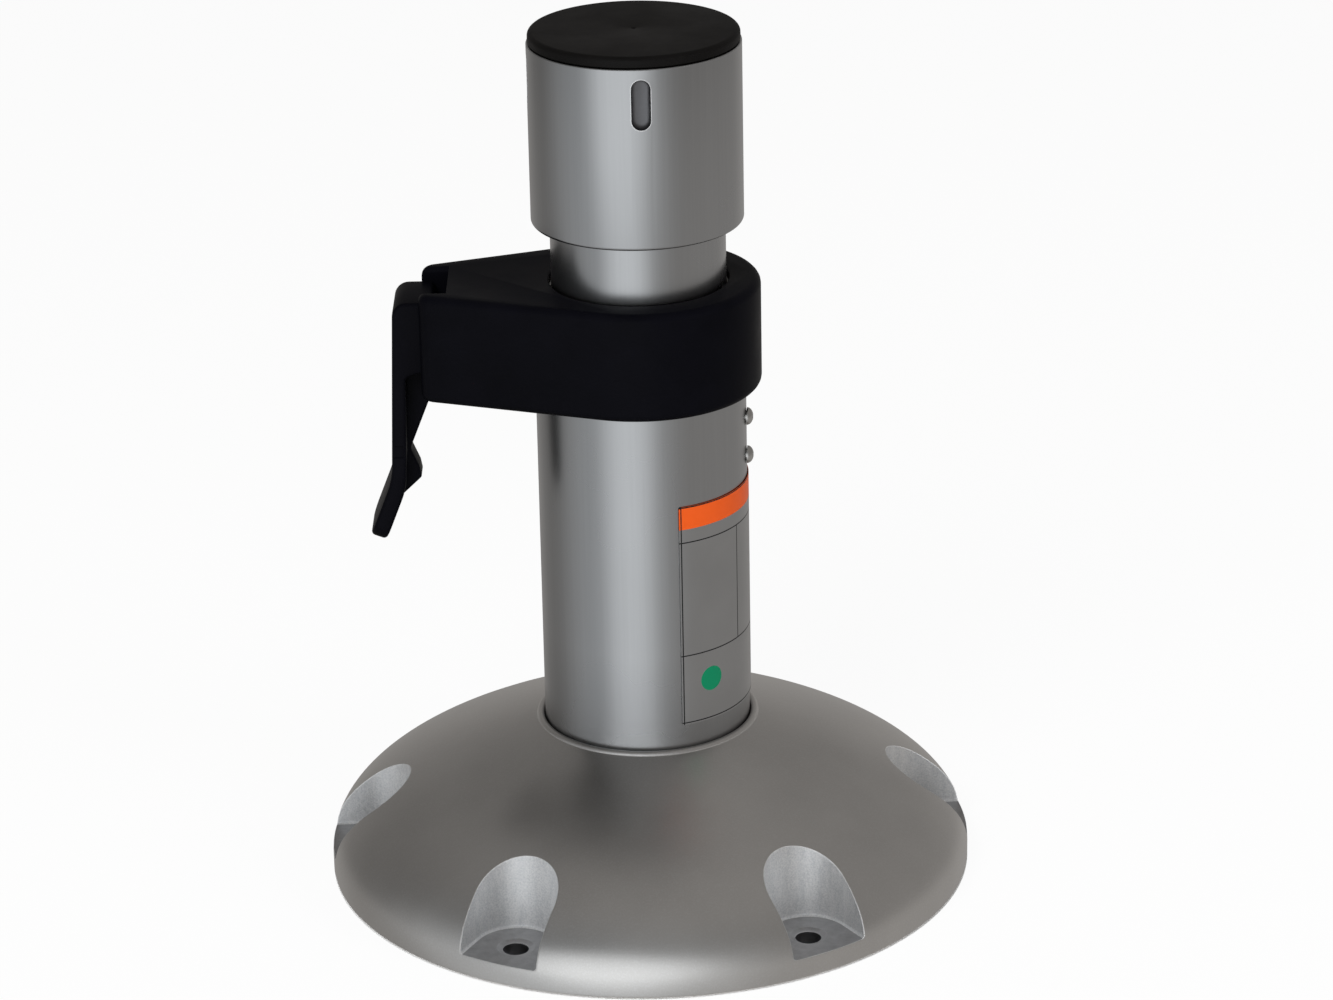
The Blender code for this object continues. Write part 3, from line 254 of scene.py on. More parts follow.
class PedestalLeverSizes(bpy.types.PropertyGroup):
    """Sizes of the cam lever, from its pivot outward and upward."""
    pivot_x: FloatProperty(name="Pivot X", description="Place of the pivot along X",
                           default=PIVOT[0], unit="LENGTH", subtype="DISTANCE", precision=5)
    pivot_z: height("Pivot height", "Height of the pivot", PIVOT[2])
    width: length("Width", "Width of the lever", LEVER_BOX[1].y - LEVER_BOX[0].y)
    top: length("Top", "Height of the lever's top above its pivot", 0.010)
    top_round: length("Top round", "Rounding of the lever's top", 0.005)
    face: length("Face", "Distance of the outer face from the pivot", 0.0132)
    lean: length("Lean", "How far the face leans out towards the paddle", 0.0025)
    thickness: length("Thickness", "Thickness of the plate", 0.005)
    paddle_thickness: length("Paddle thickness", "Thickness of the paddle", 0.0058)
    edge: length("Edge", "Rounding of the rib's edges", 0.001)
    corner: length("Corner", "Rounding of small corners", 0.0017)
    head_back: length("Head back", "Height of the head's back above the pivot", 0.0052)
    head_depth: length("Head depth", "How far the head reaches below the pivot", 0.0172)
    head_step: length("Head step", "Step at the head's lower end", 0.0013)
    head_step_in: length("Head step in", "Distance of the step from the plate", 0.004)
    flare_depth: length("Flare depth", "Distance of the bend below the pivot", 0.0548)
    flare_round: length("Flare round", "Radius of the bend into the paddle", 0.030)
    paddle_length: length("Paddle length", "Length of the paddle", 0.023)
    paddle_tilt: turn("Paddle tilt", "Slope of the paddle", 21.6)
    paddle_corner: length("Paddle corner", "Rounding of the paddle's corners", 0.006)
    rim: length("Rim", "Rounding of the lever's rims", 0.0014)
    mark_depth: length("Mark depth", "Depth of the grip mark in the plate's sides", 0.0005)
    mark_height: length("Mark height", "Height of the grip mark", 0.0044)
    mark_below: length("Mark below pivot", "Distance of the mark below the pivot", 0.0442)
    cam_radius: length("Cam radius", "Radius of the cam", 0.006)
    cam_lift: length("Cam lift", "Lift of the cam per radian", 0.0015625)
    rib_width: length("Rib width", "Width of the rib", 0.010)
    heel_reach: length("Heel reach", "How far the rib's heel passes the pivot", 0.0005)
    heel_depth: length("Heel depth", "Distance of the heel below the pivot", 0.0215)
    heel_round: length("Heel round", "Rounding of the heel", 0.002)
    notch_reach: length("Notch reach", "Distance of the notch from the pivot", 0.0092)
    notch_depth: length("Notch depth", "Distance of the notch below the pivot", 0.0458)
    notch_round: length("Notch round", "Rounding of the notch", 0.004)
    hook_reach: length("Hook reach", "Distance of the hook's tip from the pivot", 0.0056)
    hook_depth: length("Hook depth", "Distance of the hook below the pivot", 0.0565)
    hook_back: length("Hook back", "Height of the hook's back above its tip", 0.0038)
    hook_round: length("Hook round", "Rounding of the hook's tip", 0.0014)
    root_on_paddle: length("Rib root", "Where the rib runs out on the paddle", 0.014)


class PedestalLabelSizes(bpy.types.PropertyGroup):
    """Sizes of the label panel and its fields of colour."""
    radius: length("Radius", "Radius of the label's inner face", 0.0368)
    thickness: length("Thickness", "Thickness of the film", 0.0002)
    start: turn("Start", "Direction of the label's left edge", -70.6)
    sweep: turn("Sweep", "Angle that the label covers", 92)
    bottom: height("Bottom", "Height of the label's lower edge", LABEL_BOX[0].z)
    top: height("Top", "Height of the label's upper edge", LABEL_BOX[1].z)
    corner: length("Corner", "Rounding of the label's corners", 0.0008)
    band_bottom: height("Band bottom", "Height of the orange band's lower edge", 0.1387)
    upper_line: height("Upper line", "Height of the line under the band", 0.1338)
    lower_line: height("Lower line", "Height of the line over the dot", 0.0914)
    divider: turn("Divider", "Direction of the upright line", -29.5)
    dot_angle: turn("Dot angle", "Direction of the green dot", -52)
    dot_height: height("Dot height", "Height of the green dot", 0.0807)
    dot_radius: length("Dot radius", "Radius of the green dot", 0.0045)
    line: length("Line", "Width of the printed lines", 0.00045)
    inset: length("Inset", "Distance of the outer lines from the label's edge", 0.0007)
    steps: IntProperty(name="Steps", description="Facets round the label", default=60, min=4)


class PedestalColours(bpy.types.PropertyGroup):
    """Colours of the pedestal's finishes."""
    casting: colour("Casting", "Fine blasted casting", (0.82, 0.805, 0.785))
    pocket: colour("Pocket", "Rough casting in the pockets", (0.92, 0.935, 0.95))
    recess: colour("Pocket floor", "Floors of the pockets and their holes", (0.58, 0.58, 0.59))
    # Dark colour inside the head's slots and on the screw holes' walls: painted shade in these
    # recesses
    slot: colour("Slot", "Inside of the head's slots", (0.23, 0.23, 0.24))
    tube: colour("Tube", "Satin tube", (0.525, 0.532, 0.54))
    rivet: colour("Rivet", "Bright rivets", (0.72, 0.71, 0.69))
    steel: colour("Steel", "Plain steel", (0.55, 0.55, 0.56))
    plastic: colour("Black plastic", "Collar and lever", (0.0022, 0.0022, 0.0036))
    cap: colour("Cap plastic", "Cap on the head", (0.0040, 0.0036, 0.0035))
    bearing: colour("Bearing plastic", "Bushings", (0.72, 0.71, 0.66))
    rubber: colour("Rubber", "Brake pad", (0.05, 0.045, 0.04))
    film: colour("Label film", "Clear film over the satin metal", (0.56, 0.565, 0.57))
    band: colour("Label band", "Orange band", (0.66, 0.085, 0.008))
    dot: colour("Label dot", "Green dot", (0.002, 0.19, 0.085))
    ink: colour("Label ink", "Printed lines", (0.012, 0.012, 0.013))
    floor: colour("Floor", "Floor round the pedestal", (0.86, 0.86, 0.86))
    room: colour("Room", "Colour of the room's light", (1.0, 0.965, 0.93))
    window: colour("Window", "Colour of the light in front", (0.955, 0.98, 1.0))


class PedestalStageSizes(bpy.types.PropertyGroup):
    """The camera's place, the lamps' power and the light of the room."""
    aim: FloatVectorProperty(name="Aim", description="Point at the middle of the view", size=3,
                             default=(0.00811, 0.0, 0.13621), subtype="TRANSLATION",
                             unit="LENGTH", precision=5)
    elevation: turn("Elevation", "Camera's height above the horizon, as an angle", 21.80)
    distance: length("Distance", "Camera's distance from the aim", 1.5607)
    roll: turn("Roll", "Camera's roll", -1.085)
    lens: FloatProperty(name="Lens", description="Focal length on a sensor 36 mm wide",
                        default=120.23, subtype="DISTANCE_CAMERA")
    floor_size: length("Floor size", "Side of the floor", 12.0)
    floor_white: FloatProperty(name="Floor white", description="Share of plain white that the "
                               "camera sees in the floor", default=0.94, min=0.0, max=1.0)
    front_power: power("Front power", "Power of the lamp at the left in front", 30.0)
    side_power: power("Side power", "Power of the lamp at the right", 14.0)
    room: light("Room", "Light of the room at the object's sides", 0.170)
    room_side: light("Room side", "How much lighter the right side is", 0.05)
    room_low: light("Room low", "Light added from below the horizon", 0.095)
    room_back: light("Room back", "Light added from behind", 0.10)
    room_wide: light("Room wide", "Light added all over the front", 0.22)
    room_front: light("Room front", "Light added straight in front", 0.60)
    room_top: light("Room top", "Light added from above", 0.052)
    front_heading: turn("Front heading", "How far the light in front lies to the left", 16)
    wide_heading: turn("Wide heading", "How far the wide light lies to the left", 32)


SETTINGS = {
    "pedestal_base": PedestalBaseSizes, "pedestal_pockets": PedestalPocketSizes,
    "pedestal_tube": PedestalTubeSizes, "pedestal_head": PedestalHeadSizes,
    "pedestal_collar": PedestalCollarSizes, "pedestal_lever": PedestalLeverSizes,
    "pedestal_label": PedestalLabelSizes, "pedestal_colours": PedestalColours,
    "pedestal_stage": PedestalStageSizes,
}


# Drawing by hand in edit mode

def leave_edit_mode():
    if bpy.context.object and bpy.context.object.mode != "OBJECT":
        bpy.ops.object.mode_set(mode="OBJECT")


def edit(piece):
    """Opens one piece in edit mode."""
    choose(piece)
    bpy.ops.object.mode_set(mode="EDIT")


def choose(*pieces):
    """Selects these pieces alone, in object mode, with the first one active."""
    leave_edit_mode()
    bpy.ops.object.select_all(action="DESELECT")
    for piece in pieces:
        piece.select_set(True)
    bpy.context.view_layer.objects.active = pieces[0]


def start_point(name, place):
    """A new piece in edit mode that is one point, ready to be drawn out."""
    leave_edit_mode()
    bpy.ops.object.select_all(action="DESELECT")
    bpy.ops.mesh.primitive_plane_add(size=0.01)
    piece = bpy.context.object
    piece.name = piece.data.name = name
    bpy.ops.object.mode_set(mode="EDIT")
    bpy.ops.mesh.select_mode(type="VERT")
    bpy.ops.mesh.select_all(action="SELECT")
    bpy.ops.mesh.merge(type="CENTER")
    bpy.ops.transform.translate(value=place)
    return piece


def draw(name, points, closed=False):
    """Draws a line through the points by extruding one vertex from each to the next."""
    piece = start_point(name, points[0])
    for here, there in zip(points, points[1:]):
        step = Vector(there) - Vector(here)
        bpy.ops.mesh.extrude_vertices_move(TRANSFORM_OT_translate={"value": step})
    bpy.ops.mesh.select_all(action="SELECT")
    if closed:
        bpy.ops.mesh.edge_face_add()
    return piece


def pick(piece, kind, test):
    """Selects the faces or edges of a piece in edit mode that pass a test."""
    bpy.ops.mesh.select_mode(type=kind)
    bpy.ops.mesh.select_all(action="DESELECT")
    shape = bmesh.from_edit_mesh(piece.data)
    for item in shape.faces if kind == "FACE" else shape.edges:
        if test(item):
            item.select_set(True)
    bmesh.update_edit_mesh(piece.data)


def round_off(radius, segments):
    """Rounds the picked edges."""
    bpy.ops.mesh.bevel(offset=radius, segments=segments, affect="EDGES", profile=0.5)


def tidy(piece):
    """Merges doubles and turns the faces outward."""
    bpy.ops.mesh.select_all(action="SELECT")
    bpy.ops.mesh.remove_doubles(threshold=ALMOST_ZERO)
    bpy.ops.mesh.normals_make_consistent(inside=False)


def place_mesh(piece, matrix):
    leave_edit_mode()
    piece.data.transform(matrix)
    piece.data.update()
    return piece


def revolve(name, section, steps, place=Matrix(), ring=True):
    """Spins a section of radius and height round the Z axis. A ring's section is closed."""
    piece = draw(name, [(radius, 0, z) for radius, z in section])
    if ring:
        bpy.ops.mesh.edge_face_add()
        bpy.ops.mesh.delete(type="ONLY_FACE")
        bpy.ops.mesh.select_all(action="SELECT")
    bpy.ops.mesh.spin(steps=steps, angle=FULL_TURN, center=(0, 0, 0), axis=(0, 0, 1))
    tidy(piece)
    return place_mesh(piece, place)


def drill(name, radius, low, high, place, steps=32):
    """A round cutter between two heights of its own axis."""
    section = [(0, low), (radius, low), (radius, high), (0, high)]
    return revolve(name, section, steps, place, ring=False)


def slab(name, outline, low, high, place=Matrix(), edge=0.0, segments=3):
    """Extrudes an outline from one height to another and rounds both its rims."""
    piece = draw(name, [(x, y, low) for x, y in outline], closed=True)
    bpy.ops.mesh.extrude_region_move(TRANSFORM_OT_translate={"value": (0, 0, high - low)})
    tidy(piece)
    if edge:
        pick(piece, "EDGE", lambda e: abs(e.verts[0].co.z - e.verts[1].co.z) < ALMOST_ZERO)
        round_off(edge, segments)
        tidy(piece)
    return place_mesh(piece, place)


def brick(name, low, high):
    """A box between two opposite corners."""
    return slab(name, rectangle(low, high), low[2], high[2])


def ring_of(pattern, count, first):
    """Copies a pattern round the Z axis and joins the copies to one piece."""
    copies = []
    for index in range(count):
        choose(pattern)
        bpy.ops.object.duplicate()
        copies.append(place_mesh(bpy.context.object,
                                 Matrix.Rotation(first + FULL_TURN * index / count, 4, "Z")))
    choose(pattern)
    bpy.ops.object.delete()
    choose(*copies)
    bpy.ops.object.join()
    return copies[0]


def combine(piece, operation, *tools):
    """Applies a Boolean with each tool, and removes the tools."""
    for tool in tools:
        choose(piece)
        modifier = piece.modifiers.new("Combine", "BOOLEAN")
        modifier.operation = operation
        modifier.solver = "EXACT"
        modifier.object = tool
        bpy.ops.object.modifier_apply(modifier=modifier.name)
        choose(tool)
        bpy.ops.object.delete()


def complete(piece, name, body, material, replaced=(), smooth=32.0):
    """Shades a piece, gives it its finish and ties it to the frame."""
    choose(piece)
    piece.name = piece.data.name = name
    if not piece.data.materials:
        piece.data.materials.append(material)
    bpy.ops.object.shade_smooth_by_angle(angle=math.radians(smooth))
    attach(piece, body)
    if replaced:
        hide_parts(*replaced)
    return piece


# Outlines

def arc(centre, radius, start, end, steps):
    """Points on a circle from one angle to another."""
    return [(centre[0] + radius * math.cos(start + (end - start) * i / steps),
             centre[1] + radius * math.sin(start + (end - start) * i / steps))
            for i in range(steps + 1)]


def rounded(corners, steps=8):
    """An outline from corners given as x, y and fillet radius."""
    outline = []
    for index, (x, y, radius) in enumerate(corners):
        corner = Vector((x, y))
        if radius == 0:
            outline.append((x, y))
            continue
        before = (Vector(corners[index - 1][:2]) - corner).normalized()
        after = (Vector(corners[(index + 1) % len(corners)][:2]) - corner).normalized()
        half_angle = before.angle(after) / 2
        centre = corner + (before + after).normalized() * (radius / math.sin(half_angle))
        reach = radius / math.tan(half_angle)
        start = corner + before * reach - centre
        angle = start.angle_signed(corner + after * reach - centre)
        for step in range(steps + 1):
            spoke = start.copy()
            spoke.rotate(Matrix.Rotation(-angle * step / steps, 2))
            outline.append(tuple(centre + spoke))
    return outline


def stadium(span, width, steps=12):
    """A straight slot with round ends, its length along Y."""
    reach = (span - width) / 2
    return (arc((0, reach), width / 2, 0, math.pi, steps)
            + arc((0, -reach), width / 2, math.pi, FULL_TURN, steps))


def rectangle(low, high):
    """The corners of a rectangle between two opposite corners."""
    return [(low[0], low[1]), (high[0], low[1]), (high[0], high[1]), (low[0], high[1])]


# Finishes

NOISE_RANGE = (0.3, 0.7)
SHARP_TO_FLAT = (0.78, 0.98)
# Light colour of the painted highlight along sharp edges
EDGE_HIGHLIGHT_COLOUR = (0.93, 0.94, 0.95)


class Nodes:
    """Adds nodes to the tree of a material or of the world."""

    def __init__(self, owner):
        owner.use_nodes = True
        self.tree = owner.node_tree

    def add(self, kind, links=None, **settings):
        """Adds a node, with links or values for its inputs."""
        node = self.tree.nodes.new(f"ShaderNode{kind}")
        for key, value in settings.items():
            setattr(node, key, value)
        for key, value in (links or {}).items():
            socket = node.inputs[key]
            if isinstance(value, bpy.types.NodeSocket):
                self.tree.links.new(value, socket)
            else:
                socket.default_value = value
        return node

    def spread(self, value, low, high, source=NOISE_RANGE, **settings):
        """Spreads the source's range of a value over the range from low to high."""
        node = self.add("MapRange", {"Value": value, "From Min": source[0],
                                     "From Max": source[1], "To Min": low, "To Max": high},
                        **settings)
        return node.outputs["Result"]

    def math(self, operation, first, second=0.0, third=0.0):
        """The result of a sum on outputs or numbers."""
        values = {0: first, 1: second, 2: third}
        return self.add("Math", values, operation=operation).outputs[0]

    def blend(self, share, first, second):
        """Mixes two colours or outputs by a share."""
        first, second = (value if isinstance(value, bpy.types.NodeSocket) else (*value, 1)
                         for value in (first, second))
        return self.add("Mix", {0: share, 6: first, 7: second}, data_type="RGBA").outputs[2]

    def mix(self, share, first, second):
        """Mixes two shaders by a share."""
        return self.add("MixShader", {0: share, 1: first, 2: second}).outputs[0]

    def show(self, kind, shader):
        """Makes a shader the surface of the material or of the world."""
        self.tree.links.new(shader, self.tree.nodes[f"{kind} Output"].inputs["Surface"])


class Recipe(Nodes):
    """Builds one procedural material around its Principled shader."""

    def __init__(self, name, base, roughness, metallic=0.0, specular=0.5):
        self.material = bpy.data.materials.new(name)
        super().__init__(self.material)
        self.shader = self.tree.nodes["Principled BSDF"]
        self.shader.inputs["Base Color"].default_value = (*base, 1)
        self.shader.inputs["Roughness"].default_value = roughness
        self.shader.inputs["Metallic"].default_value = metallic
        self.shader.inputs["Specular IOR Level"].default_value = specular
        self.material.diffuse_color = (*base, 1)
        self.place = self.add("TexCoord").outputs["Object"]

    def stretched(self, scale):
        """The object's coordinates scaled by axis, for marks that run one way."""
        return self.add("Mapping", {"Vector": self.place, "Scale": scale}).outputs["Vector"]

    def noise(self, scale, detail=2.0, roughness=0.5, vector=None):
        """A cloudy value, mostly within the noise range."""
        node = self.add("TexNoise", {"Vector": vector or self.place, "Scale": scale,
                                     "Detail": detail, "Roughness": roughness})
        return node.outputs["Fac"]

    def set(self, name, value):
        """Links an output to an input of the shader."""
        self.tree.links.new(value, self.shader.inputs[name])

    def painted_edge_highlight(self, radius, share):
        """A share that is highest along sharp edges, where a highlight is painted."""
        soft = self.add("Bevel", {"Radius": radius}, samples=6).outputs[0]
        sharp = self.add("NewGeometry").outputs["Normal"]
        along = self.add("VectorMath", {0: soft, 1: sharp}, operation="DOT_PRODUCT")
        return self.spread(along.outputs["Value"], share, 0.0, SHARP_TO_FLAT)

    def brighten(self, shade, radius, share, metallic=1.0):
        """Sets the base colour, with a painted highlight along sharp edges that is lighter and
        mirrors less.
        """
        edge = self.painted_edge_highlight(radius, share)
        # Painted highlight: sharp edges are mixed toward a light colour and mirror less
        self.set("Base Color", self.blend(edge, shade, EDGE_HIGHLIGHT_COLOUR))
        self.set("Metallic", self.math("SUBTRACT", metallic, edge))

    def relief(self, value, strength, distance, rounding=0.0):
        """Raises the surface by a value, with its edges softened where a rounding is given."""
        links = {"Height": value, "Strength": strength, "Distance": distance}
        if rounding:
            links["Normal"] = self.add("Bevel", {"Radius": rounding}, samples=4).outputs[0]
        self.set("Normal", self.add("Bump", links).outputs["Normal"])


def tinted(base, factor):
    """A colour made lighter or darker by a factor."""
    return tuple(min(1.0, channel * factor) for channel in base)


def blasted_casting(base):
    """Cast aluminium with a fine blasted grain, and a painted highlight along its edges."""
    recipe = Recipe("blasted_casting", base, roughness=0.32, metallic=1.0)
    cloud = recipe.noise(scale=22, detail=3)
    grain = recipe.noise(scale=1500, roughness=0.6)
    shade = recipe.blend(recipe.spread(cloud, 0, 1), tinted(base, 0.93), tinted(base, 1.06))
    speck = recipe.spread(grain, 0, 1, source=(0.45, 0.8))
    speckled = recipe.blend(recipe.math("MULTIPLY", speck, 0.35), shade, tinted(base, 1.35))
    # Painted highlight along the casting's sharp edges
    recipe.brighten(speckled, radius=0.0004, share=0.45)
    recipe.set("Roughness", recipe.spread(cloud, 0.29, 0.35))
    recipe.relief(grain, strength=0.30, distance=0.00009, rounding=0.0008)
    return recipe.material


def rough_pocket(base):
    """Lighter as-cast skin on the pockets' walls, with pits, streaks and a painted highlight
    along edges and the floor fillet.
    """
    recipe = Recipe("pocket_casting", base, roughness=0.42, metallic=1.0)
    pits = recipe.noise(scale=1600, detail=3, roughness=0.6)
    streaks = recipe.noise(scale=1, vector=recipe.stretched((420, 420, 90)))
    both = recipe.math("ADD", recipe.math("MULTIPLY", pits, 0.7),
                       recipe.math("MULTIPLY", streaks, 0.3))
    shade = recipe.blend(recipe.spread(both, 0, 1, source=(0.38, 0.62)), tinted(base, 0.86),
                         tinted(base, 1.14))
    # Painted highlight along the pockets' sharp edges and floor fillet
    recipe.brighten(shade, radius=0.0006, share=0.9, metallic=0.9)
    recipe.set("Roughness", recipe.spread(pits, 0.42, 0.56))
    recipe.relief(both, strength=0.75, distance=0.00024, rounding=0.0006)
    return recipe.material


def dull_recess(name, base):
    """Duller metal on the pockets' floors and inside holes and slots, with a painted highlight
    along its edges.
    """
    recipe = Recipe(name, base, roughness=0.5, metallic=1.0)
    stain = recipe.noise(scale=260, detail=4, roughness=0.6)
    grain = recipe.noise(scale=1500, roughness=0.6)
    shade = recipe.blend(recipe.spread(stain, 0, 1), tinted(base, 0.85), tinted(base, 1.15))
    # Painted highlight along the recesses' sharp edges
    recipe.brighten(shade, radius=0.0004, share=0.7)
    recipe.set("Roughness", recipe.spread(stain, 0.42, 0.58))
    recipe.relief(grain, strength=0.2, distance=0.0001, rounding=0.0005)
    return recipe.material


def satin_tube(base):
    """Anodised tube with fine lengthwise drawing lines, a painted shade just above the base and a
    painted highlight along its edges.
    """
    recipe = Recipe("satin_tube", base, roughness=0.28, metallic=1.0)
    lines = recipe.noise(scale=1, detail=3, roughness=0.6,
                         vector=recipe.stretched((900, 900, 12)))
    cloud = recipe.noise(scale=18, detail=3)
    drawn = recipe.blend(recipe.spread(lines, 0, 1), tinted(base, 0.975), tinted(base, 1.02))
    up = recipe.add("SeparateXYZ", {"Vector": recipe.place}).outputs["Z"]
    # Painted shade: the tube is darkened just above the base
    painted_shade_near_base = recipe.spread(up, 0.22, 0, source=(0.062, 0.092))
    # The painted shade is blended in, then a painted highlight along edges
    recipe.brighten(recipe.blend(painted_shade_near_base, drawn, tinted(base, 0.1)), radius=0.0007, share=0.6)
    recipe.set("Roughness", recipe.spread(cloud, 0.26, 0.31))
    recipe.relief(lines, strength=0.05, distance=0.00005)
    return recipe.material


def turned_metal(name, base, roughness):
    """Bright metal with fine marks and slight stains."""
    recipe = Recipe(name, base, roughness, metallic=1.0)
    marks = recipe.noise(scale=1400, detail=3, roughness=0.6)
    stain = recipe.noise(scale=160, detail=3)
    recipe.set("Base Color", recipe.blend(recipe.spread(stain, 0, 1), tinted(base, 0.86),
                                          tinted(base, 1.06)))
    recipe.set("Roughness", recipe.spread(stain, roughness * 0.85, roughness * 1.2))
    recipe.relief(marks, strength=0.15, distance=0.00005, rounding=0.0002)
    return recipe.material


def moulded_plastic(name, base, roughness, specular, grain_scale=1900, grain_depth=0.22):
    """Moulded plastic with a fine grain and faint cloudy patches."""
    recipe = Recipe(name, base, roughness, specular=specular)
    grain = recipe.noise(scale=grain_scale, roughness=0.6)
    cloud = recipe.noise(scale=60, detail=4, roughness=0.6)
    recipe.set("Base Color", recipe.blend(recipe.spread(cloud, 0, 1), tinted(base, 0.85),
                                          tinted(base, 1.2)))
    recipe.set("Roughness", recipe.spread(cloud, roughness * 0.9, roughness * 1.12))
    recipe.relief(grain, strength=grain_depth, distance=0.00008, rounding=0.0003)
    return recipe.material


def printed_film(colours, sizes):
    """Label film whose fields of colour are laid out by angle and height."""
    recipe = Recipe("label_film", colours.film, roughness=0.34, metallic=1.0, specular=0.15)
    split = recipe.add("SeparateXYZ", {"Vector": recipe.place}).outputs
    angle = recipe.math("ARCTAN2", split["Y"], split["X"])
    z = split["Z"]

    def from_line(value, middle, scale=1.0):
        away = recipe.math("ABSOLUTE", recipe.math("SUBTRACT", value, middle))
        return recipe.math("MULTIPLY", away, scale)

    def thin(value, middle, scale=1.0, width=sizes.line / 2):
        return recipe.math("LESS_THAN", from_line(value, middle, scale), width)

    def within(value, low, high):
        return recipe.math("MULTIPLY", recipe.math("GREATER_THAN", value, low),
                           recipe.math("LESS_THAN", value, high))

    radius = sizes.radius
    end = sizes.start + sizes.sweep
    inset = sizes.inset
    frame_lines = [thin(z, sizes.bottom + inset), thin(z, sizes.top - inset / 3),
                   thin(angle, sizes.start + inset / radius, radius),
                   thin(angle, end - inset / radius, radius),
                   thin(z, sizes.upper_line), thin(z, sizes.lower_line),
                   recipe.math("MULTIPLY", thin(angle, sizes.divider, radius),
                               within(z, sizes.lower_line, sizes.upper_line))]
    ink = frame_lines[0]
    for mark in frame_lines[1:]:
        ink = recipe.math("MAXIMUM", ink, mark)
    across = from_line(angle, sizes.dot_angle, radius)
    up = from_line(z, sizes.dot_height)
    away = recipe.math("SQRT", recipe.math("ADD", recipe.math("MULTIPLY", across, across),
                                           recipe.math("MULTIPLY", up, up)))
    dot = recipe.math("LESS_THAN", away, sizes.dot_radius)
    band = recipe.math("GREATER_THAN", z, sizes.band_bottom)
    grain, cloud = recipe.noise(scale=900), recipe.noise(scale=40)
    ground = recipe.blend(recipe.spread(cloud, 0, 1), tinted(colours.film, 0.95),
                          tinted(colours.film, 1.04))
    shown = recipe.blend(band, ground, colours.band)
    shown = recipe.blend(dot, shown, colours.dot)
    shown = recipe.blend(ink, shown, colours.ink)
    printed = recipe.math("MAXIMUM", ink, recipe.math("MAXIMUM", band, dot))
    recipe.set("Metallic", recipe.math("SUBTRACT", 1.0, printed))
    recipe.set("Base Color", shown)
    recipe.set("Roughness", recipe.spread(grain, 0.31, 0.37))
    recipe.relief(grain, strength=0.05, distance=0.00003)
    return recipe.material


MADE_FINISHES = {}


def finish(name):
    """The finish of that name, made once."""
    if name not in MADE_FINISHES:
        c = bpy.context.scene.pedestal_colours
        makers = {
            "casting": lambda: blasted_casting(c.casting),
            "pocket": lambda: rough_pocket(c.pocket),
            "recess": lambda: dull_recess("dull_recess", c.recess),
            # Dark finish inside the head's slots and on the holes' walls: painted shade
            "slot": lambda: dull_recess("dark_recess", c.slot),
            "tube": lambda: satin_tube(c.tube),
            "rivet": lambda: turned_metal("rivet_metal", c.rivet, roughness=0.24),
            "steel": lambda: turned_metal("plain_steel", c.steel, roughness=0.30),
            "plastic": lambda: moulded_plastic("black_plastic", c.plastic, roughness=0.42,
                                               specular=0.045),
            "cap": lambda: moulded_plastic("cap_plastic", c.cap, roughness=0.48, specular=0.12),
            "bearing": lambda: moulded_plastic("bearing_plastic", c.bearing, roughness=0.45,
                                               specular=0.4),
            "rubber": lambda: moulded_plastic("friction_rubber", c.rubber, roughness=0.85,
                                              specular=0.2, grain_scale=700, grain_depth=0.5),
            "film": lambda: printed_film(c, bpy.context.scene.pedestal_label),
        }
        MADE_FINISHES[name] = makers[name]()
    return MADE_FINISHES[name]


def give(piece, names):
    """Gives a piece these finishes, in this order."""
    for name in names:
        piece.data.materials.append(finish(name))


# Pieces

BASE_FINISHES = ("casting", "pocket", "recess", "slot")

# Upward parts of a face's normal that tell floors from walls
FACING_UP = 0.9
NEARLY_FLAT = 0.97
NEARLY_UPRIGHT = 0.2


def socket_radius():
    """Radius of the sockets in base and collar that the tube sits in."""
    return bpy.context.scene.pedestal_tube.radius + SEAT_GAP


def pipe(name, radius, wall, bottom, top, edge, steps):
    """A tube with chamfered outer rims."""
    section = [(radius - wall, bottom), (radius - edge, bottom), (radius, bottom + edge),
               (radius, top - edge), (radius - edge, top), (radius - wall, top)]
    return revolve(name, section, steps)


def dome_curve(s, inset=0.0, steps=40):
    """The dome's side from the bead round the tube to the rim, moved inward by the inset."""
    top = Vector((socket_radius() + s.lip_width, s.dome_height))
    rim = Vector((s.radius, s.rim_height))
    pull = s.crown_share * (rim.x - top.x)
    crown = top + pull * Vector((math.cos(s.dome_slope), -math.sin(s.dome_slope)))
    upright = rim + Vector((0, s.rim_pull))
    points = []
    for step in range(steps + 1):
        t = step / steps
        u = 1 - t
        spot = u**3 * top + 3 * u * u * t * crown + 3 * u * t * t * upright + t**3 * rim
        heading = (u * u * (crown - top) + 2 * u * t * (upright - crown)
                   + t * t * (rim - upright)).normalized()
        points.append(tuple(spot + inset * Vector((heading.y, -heading.x))))
    return points


